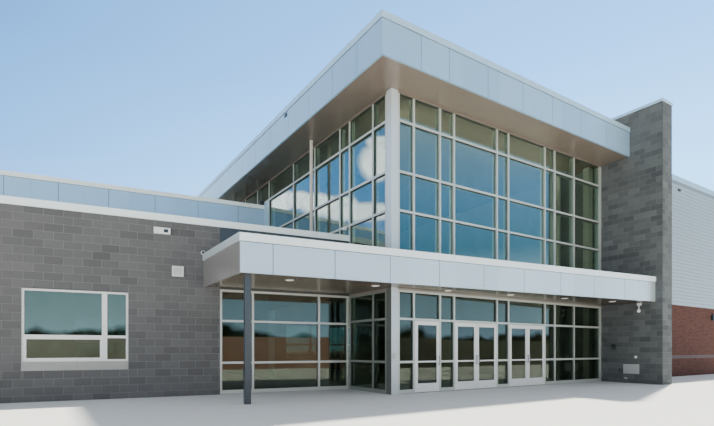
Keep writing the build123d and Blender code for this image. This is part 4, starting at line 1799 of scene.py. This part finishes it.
@dataclass(frozen=True)
class Card:
    """An upright studio card that only mirrors see, uneven and soft towards its top.

    Attributes:
        name: The card's name.
        left: Plan place of its left edge.
        right: Plan place of its right edge.
        low: Level of its foot.
        high: Level of its head.
        colours: Stops of its brightness, from its darkest lumps to its palest.
        top: Level where it ends.
        soft: Height over which it fades.
        lumps: How far its end goes up and down.
    """

    name: str
    left: Spot
    right: Spot
    low: float
    high: float
    colours: Stops
    top: float = 0.0
    soft: float = 1.0
    lumps: float = 1.6

    def share(self, tree: ShaderTree) -> Number:
        """See-through share: zero under the uneven end, one over it."""
        _, _, height = tree.parts()
        return (height + (tree.noise(0.13, 4.0) - 0.5) * self.lumps - self.top + self.soft) / self.soft

    def build(self) -> None:
        """One upright quad, glowing by its lumps, that no camera or shadow sees."""
        foot = [(*spot, self.low) for spot in (self.left, self.right)]
        head = [(*spot, self.high) for spot in (self.right, self.left)]
        mesh = bpy.data.meshes.new(self.name)
        mesh.from_pydata(foot + head, [], [(0, 1, 2, 3)])
        tree = ShaderTree(self.name)
        glow = tree.ramp(tree.noise(0.3, 4.0), self.colours)
        glowing = tree.node("ShaderNodeEmission", {}, {"Color": glow, "Strength": 1.0})
        clear = tree.node("ShaderNodeBsdfTransparent", {}, {})
        share = tree.node("ShaderNodeClamp", {}, {"Value": self.share(tree)})
        mixed = tree.node("ShaderNodeMixShader", {}, {0: share, 1: glowing, 2: clear})
        mesh.materials.append(tree.finish(mixed))
        card = new_object(self.name, mesh)
        for way in ("camera", "diffuse", "shadow", "transmission"):
            setattr(card, "visible_" + way, False)


@dataclass(frozen=True)
class SoftPatch(Card):
    """A card with one soft pale patch.

    Attributes:
        middle: X and Z of the patch.
        reach: Its half sizes along X and Z.
    """

    middle: Spot = (0.0, 0.0)
    reach: Spot = (1.0, 1.0)

    def share(self, tree: ShaderTree) -> Number:
        """See-through share: one outside an ellipse whose edge the noise frays.

        Args:
            tree: The card's nodes.

        Returns:
            The share, which may pass 0 and 1.
        """
        x, _, height = tree.parts()
        across = (x - self.middle[0]) / self.reach[0]
        up = (height - self.middle[1]) / self.reach[1]
        return across * across + up * up - 0.7 + (tree.noise(0.4, 5.0) - 0.5) * self.lumps


@dataclass
class Studio:
    """Pale floor, soft sky, low-contrast sun, weak strips in the hall and the camera.

    Attributes:
        lens: Focal length in millimetres, on a 36 mm frame.
        heading: Degrees that the camera looks to the right of the hall's depth.
        eye: The camera's place.
        shift: How far the frame is shifted up.
        view: Farthest distance that it sees.
        sun: Direction that the sun shines in.
        sun_power: The sun's strength.
        sun_width: Degrees that the sun is wide.
        sun_colour: The sun's colour.
        strip_colour: Colour of the strips in the hall.
        sky_power: The sky's strength.
        reach: Radius of the floor.
    """

    lens: float = 24.13
    heading: float = 33.03
    eye: Triple = (-8.371, -11.016, 1.292)
    shift: float = 0.1911
    view: float = 2000.0
    sun: Triple = (-6.97, -2.4, -10.5)
    sun_power: float = 10.5
    sun_width: float = 2.0
    sun_colour: Colour = (1.0, 0.95, 0.82)
    strip_colour: Colour = (0.93, 1.0, 0.84)
    sky_power: float = 4.0
    reach: float = 900.0

    def floor(self, sides: int = 128) -> None:
        """A wide round pale floor that isn't part of the building: edge = radius round.

        Args:
            sides: Sides of its edge.
        """
        angle = np.linspace(0.0, 2 * math.pi, sides, endpoint=False)
        level = np.full(sides, -4 * MM)
        ring = np.stack([self.reach * np.cos(angle), self.reach * np.sin(angle), level], axis=1)
        mesh = bpy.data.meshes.new("floor")
        mesh.from_pydata(ring.tolist(), [], [tuple(range(sides))])
        mesh.materials.append(Mineral("pale_floor", (0.8, 0.8, 0.78), 0.03, 12.0, 0.0006, 0.8).build())
        new_object("floor", mesh)

    def sky(self) -> None:
        """Soft sky: pale and low-contrast as light, bluer where it is seen or mirrored."""
        world = bpy.data.worlds.new("soft_sky")
        bpy.context.scene.world = world
        tree = ShaderTree("soft_sky", world)
        x, y, height = tree.parts(tree.node("ShaderNodeTexCoord", {}, {}, "Generated"))
        deep = [
            (0.0, (0.5, 0.76, 1.1)),
            (0.1, (0.36, 0.54, 0.76)),
            (0.2, (0.062, 0.2, 0.36)),
            (0.3, (0.115, 0.275, 0.52)),
            (0.4, (0.175, 0.3, 0.465)),
            (0.5, (0.13, 0.23, 0.4)),
            (1.0, (0.035, 0.1, 0.25)),
        ]
        bright = [
            (0.0, (0.38, 0.78, 1.15)),
            (0.3, (0.23, 0.6, 1.08)),
            (0.48, (0.14, 0.41, 0.88)),
            (1.0, (0.05, 0.14, 0.33)),
        ]
        soft = [(0.0, (0.3, 0.295, 0.27)), (0.3, (0.225, 0.23, 0.235)), (1.0, (0.16, 0.18, 0.205))]
        clear = [
            (0.0, (0.5, 0.76, 1.05)),
            (0.12, (0.3, 0.5, 0.8)),
            (0.26, (0.12, 0.27, 0.56)),
            (0.34, (0.07, 0.235, 0.535)),
            (0.5, (0.052, 0.172, 0.403)),
            (1.0, (0.03, 0.1, 0.25)),
        ]
        # Brighter to the right and into the building
        toward = (x * 0.945 + y * 0.325) * 1.3 - 0.25
        ahead = tree.mix(toward, tree.ramp(height, clear), tree.ramp(height, bright))
        # In front of the building its own blues, which only glass and metal mirror
        direct = tree.node("ShaderNodeLightPath", {}, {}, "Is Camera Ray")
        seen = tree.mix((y + x * 0.3) * 4.0 - 0.8 + direct * 9.0, tree.ramp(height, deep), ahead)
        bounced = tree.node("ShaderNodeLightPath", {}, {}, "Is Diffuse Ray")
        colour = tree.mix(bounced, seen, tree.ramp(height, soft))
        background = {"Color": colour, "Strength": self.sky_power}
        tree.finish(tree.node("ShaderNodeBackground", {}, background), "World")

    def cards(self) -> list[Card]:
        """Low cards and a tall dark one in front, and pale patches to the left.

        Returns:
            The cards.
        """
        brown = ((0.3, (1.15, 0.64, 0.48)), (0.5, (1.4, 0.82, 0.64)), (0.7, (1.7, 1.15, 0.9)))
        olive = ((0.3, (0.8, 0.75, 0.7)), (0.7, (1.5, 1.5, 1.45)))
        dim = ((0.3, (0.25, 0.25, 0.2)), (0.7, (0.7, 0.68, 0.5)))
        dark = ((0.3, (0.03, 0.04, 0.02)), (0.7, (0.12, 0.14, 0.07)))
        pale = ((0.3, (3.4, 3.5, 4.0)), (0.7, (4.9, 4.9, 5.3)))
        patches = [
            ((-38.8, 33.0), (2.4, 3.0)),
            ((-39.5, 36.3), (2.0, 1.0)),
            ((-37.2, 24.6), (4.0, 1.5)),
            ((-33.5, 25.4), (2.8, 1.9)),
            ((-30.5, 26.0), (1.9, 1.8)),
            ((-28.1, 27.0), (1.6, 1.3)),
            ((-25.5, 26.8), (2.4, 1.5)),
        ]
        cards = [
            Card("brown_card", (-6, -15), (9, -15), 0.0, 3.2, brown, 2.15, 0.06, 0.12),
            Card("olive_card", (-45, -15), (-6, -15), 0.0, 3.2, olive, 2.0, 0.1, 0.4),
            Card("dim_card", (9, -15), (60, -15), 0.0, 3.2, dim, 2.1, 0.1, 0.6),
            Card("tall_card", (-70, -43), (100, -43), 0.7, 12.0, dark, 3.7, 0.8, 6.5),
        ]
        for n, (middle, size) in enumerate(patches):
            # Each stands a third of a metre to the left of the last
            ends = (-56 - n / 3, 43), (-18 - n / 3, 69)
            cards.append(SoftPatch(f"patch_card_{n}", *ends, 10.0, 46.0, pale, middle=middle, reach=size))
        return cards

    def strip_light(
        self, name: str, place: Sequence[float], size: Spot, power: float, turn: Sequence[float]
    ) -> None:
        """A weak strip inside the hall, just behind the glass.

        Args:
            name: The light's name.
            place: Its middle.
            size: Its width and length.
            power: Its power in watts.
            turn: Degrees that it's turned about X, Y and Z from facing down.
        """
        data = bpy.data.lights.new(name, "AREA")
        data.shape = "RECTANGLE"
        data.size, data.size_y = size
        data.energy = power
        data.color = self.strip_colour
        light = new_object(name, data)
        light.location = place
        light.rotation_euler = [math.radians(angle) for angle in turn]
        light.visible_camera = light.visible_glossy = False

    def lights(self) -> None:
        """A broad sun from behind the building's right side, and four strips in the hall."""
        data = bpy.data.lights.new("sun", "SUN")
        data.energy = self.sun_power
        data.angle = math.radians(self.sun_width)
        data.color = self.sun_colour
        new_object("sun", data).rotation_euler = Vector(self.sun).to_track_quat("-Z", "Y").to_euler()
        for strip in (
            ("front_ceiling_light", (5.2, 0.9, 8.1), (9.5, 0.9), 56.0, (180, 0, 0)),
            ("side_ceiling_light", (0.95, 8.2, 8.1), (0.9, 14.0), 60.0, (180, 0, 0)),
            ("corner_light", (0.75, 0.75, 4.8), (1.0, 7.4), 110.0, (90, 0, -45)),
            ("middle_light", (4.7, 0.9, 4.6), (0.8, 7.4), 70.0, (90, 0, -80)),
        ):
            self.strip_light(*strip)

    def camera(self) -> None:
        """Level camera at standing height, in front of the hall's corner."""
        data = bpy.data.cameras.new("camera")
        data.sensor_width = 36.0
        data.lens = self.lens
        data.shift_y = self.shift
        data.clip_end = self.view
        camera = new_object("camera", data)
        camera.location = self.eye
        camera.rotation_euler = (math.radians(90), 0, math.radians(-self.heading))
        bpy.context.scene.camera = camera

    def build(self) -> None:
        """Floor, sky, cards, lights and camera."""
        self.floor()
        self.sky()
        for card in self.cards():
            card.build()
        self.lights()
        self.camera()


def main() -> None:
    """Build the looks in order and report each piece."""
    logging.basicConfig(level=logging.INFO, format="%(message)s")
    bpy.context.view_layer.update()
    recipes = metal_finishes() + stone_and_glass_finishes()
    finishes = {recipe.name: recipe.build() for recipe in recipes}
    dress_nodes(finishes)
    school = SchoolWalls()
    walls = school.lay(finishes)
    Gaskets().build(school, finishes)
    PanelJoints().dress(school, finishes)
    WindowTrim().build(walls, finishes)
    Fixtures(finishes).build(school, {wall.name: wall for wall in walls})
    Studio().build()


if __name__ == "__main__":
    main()
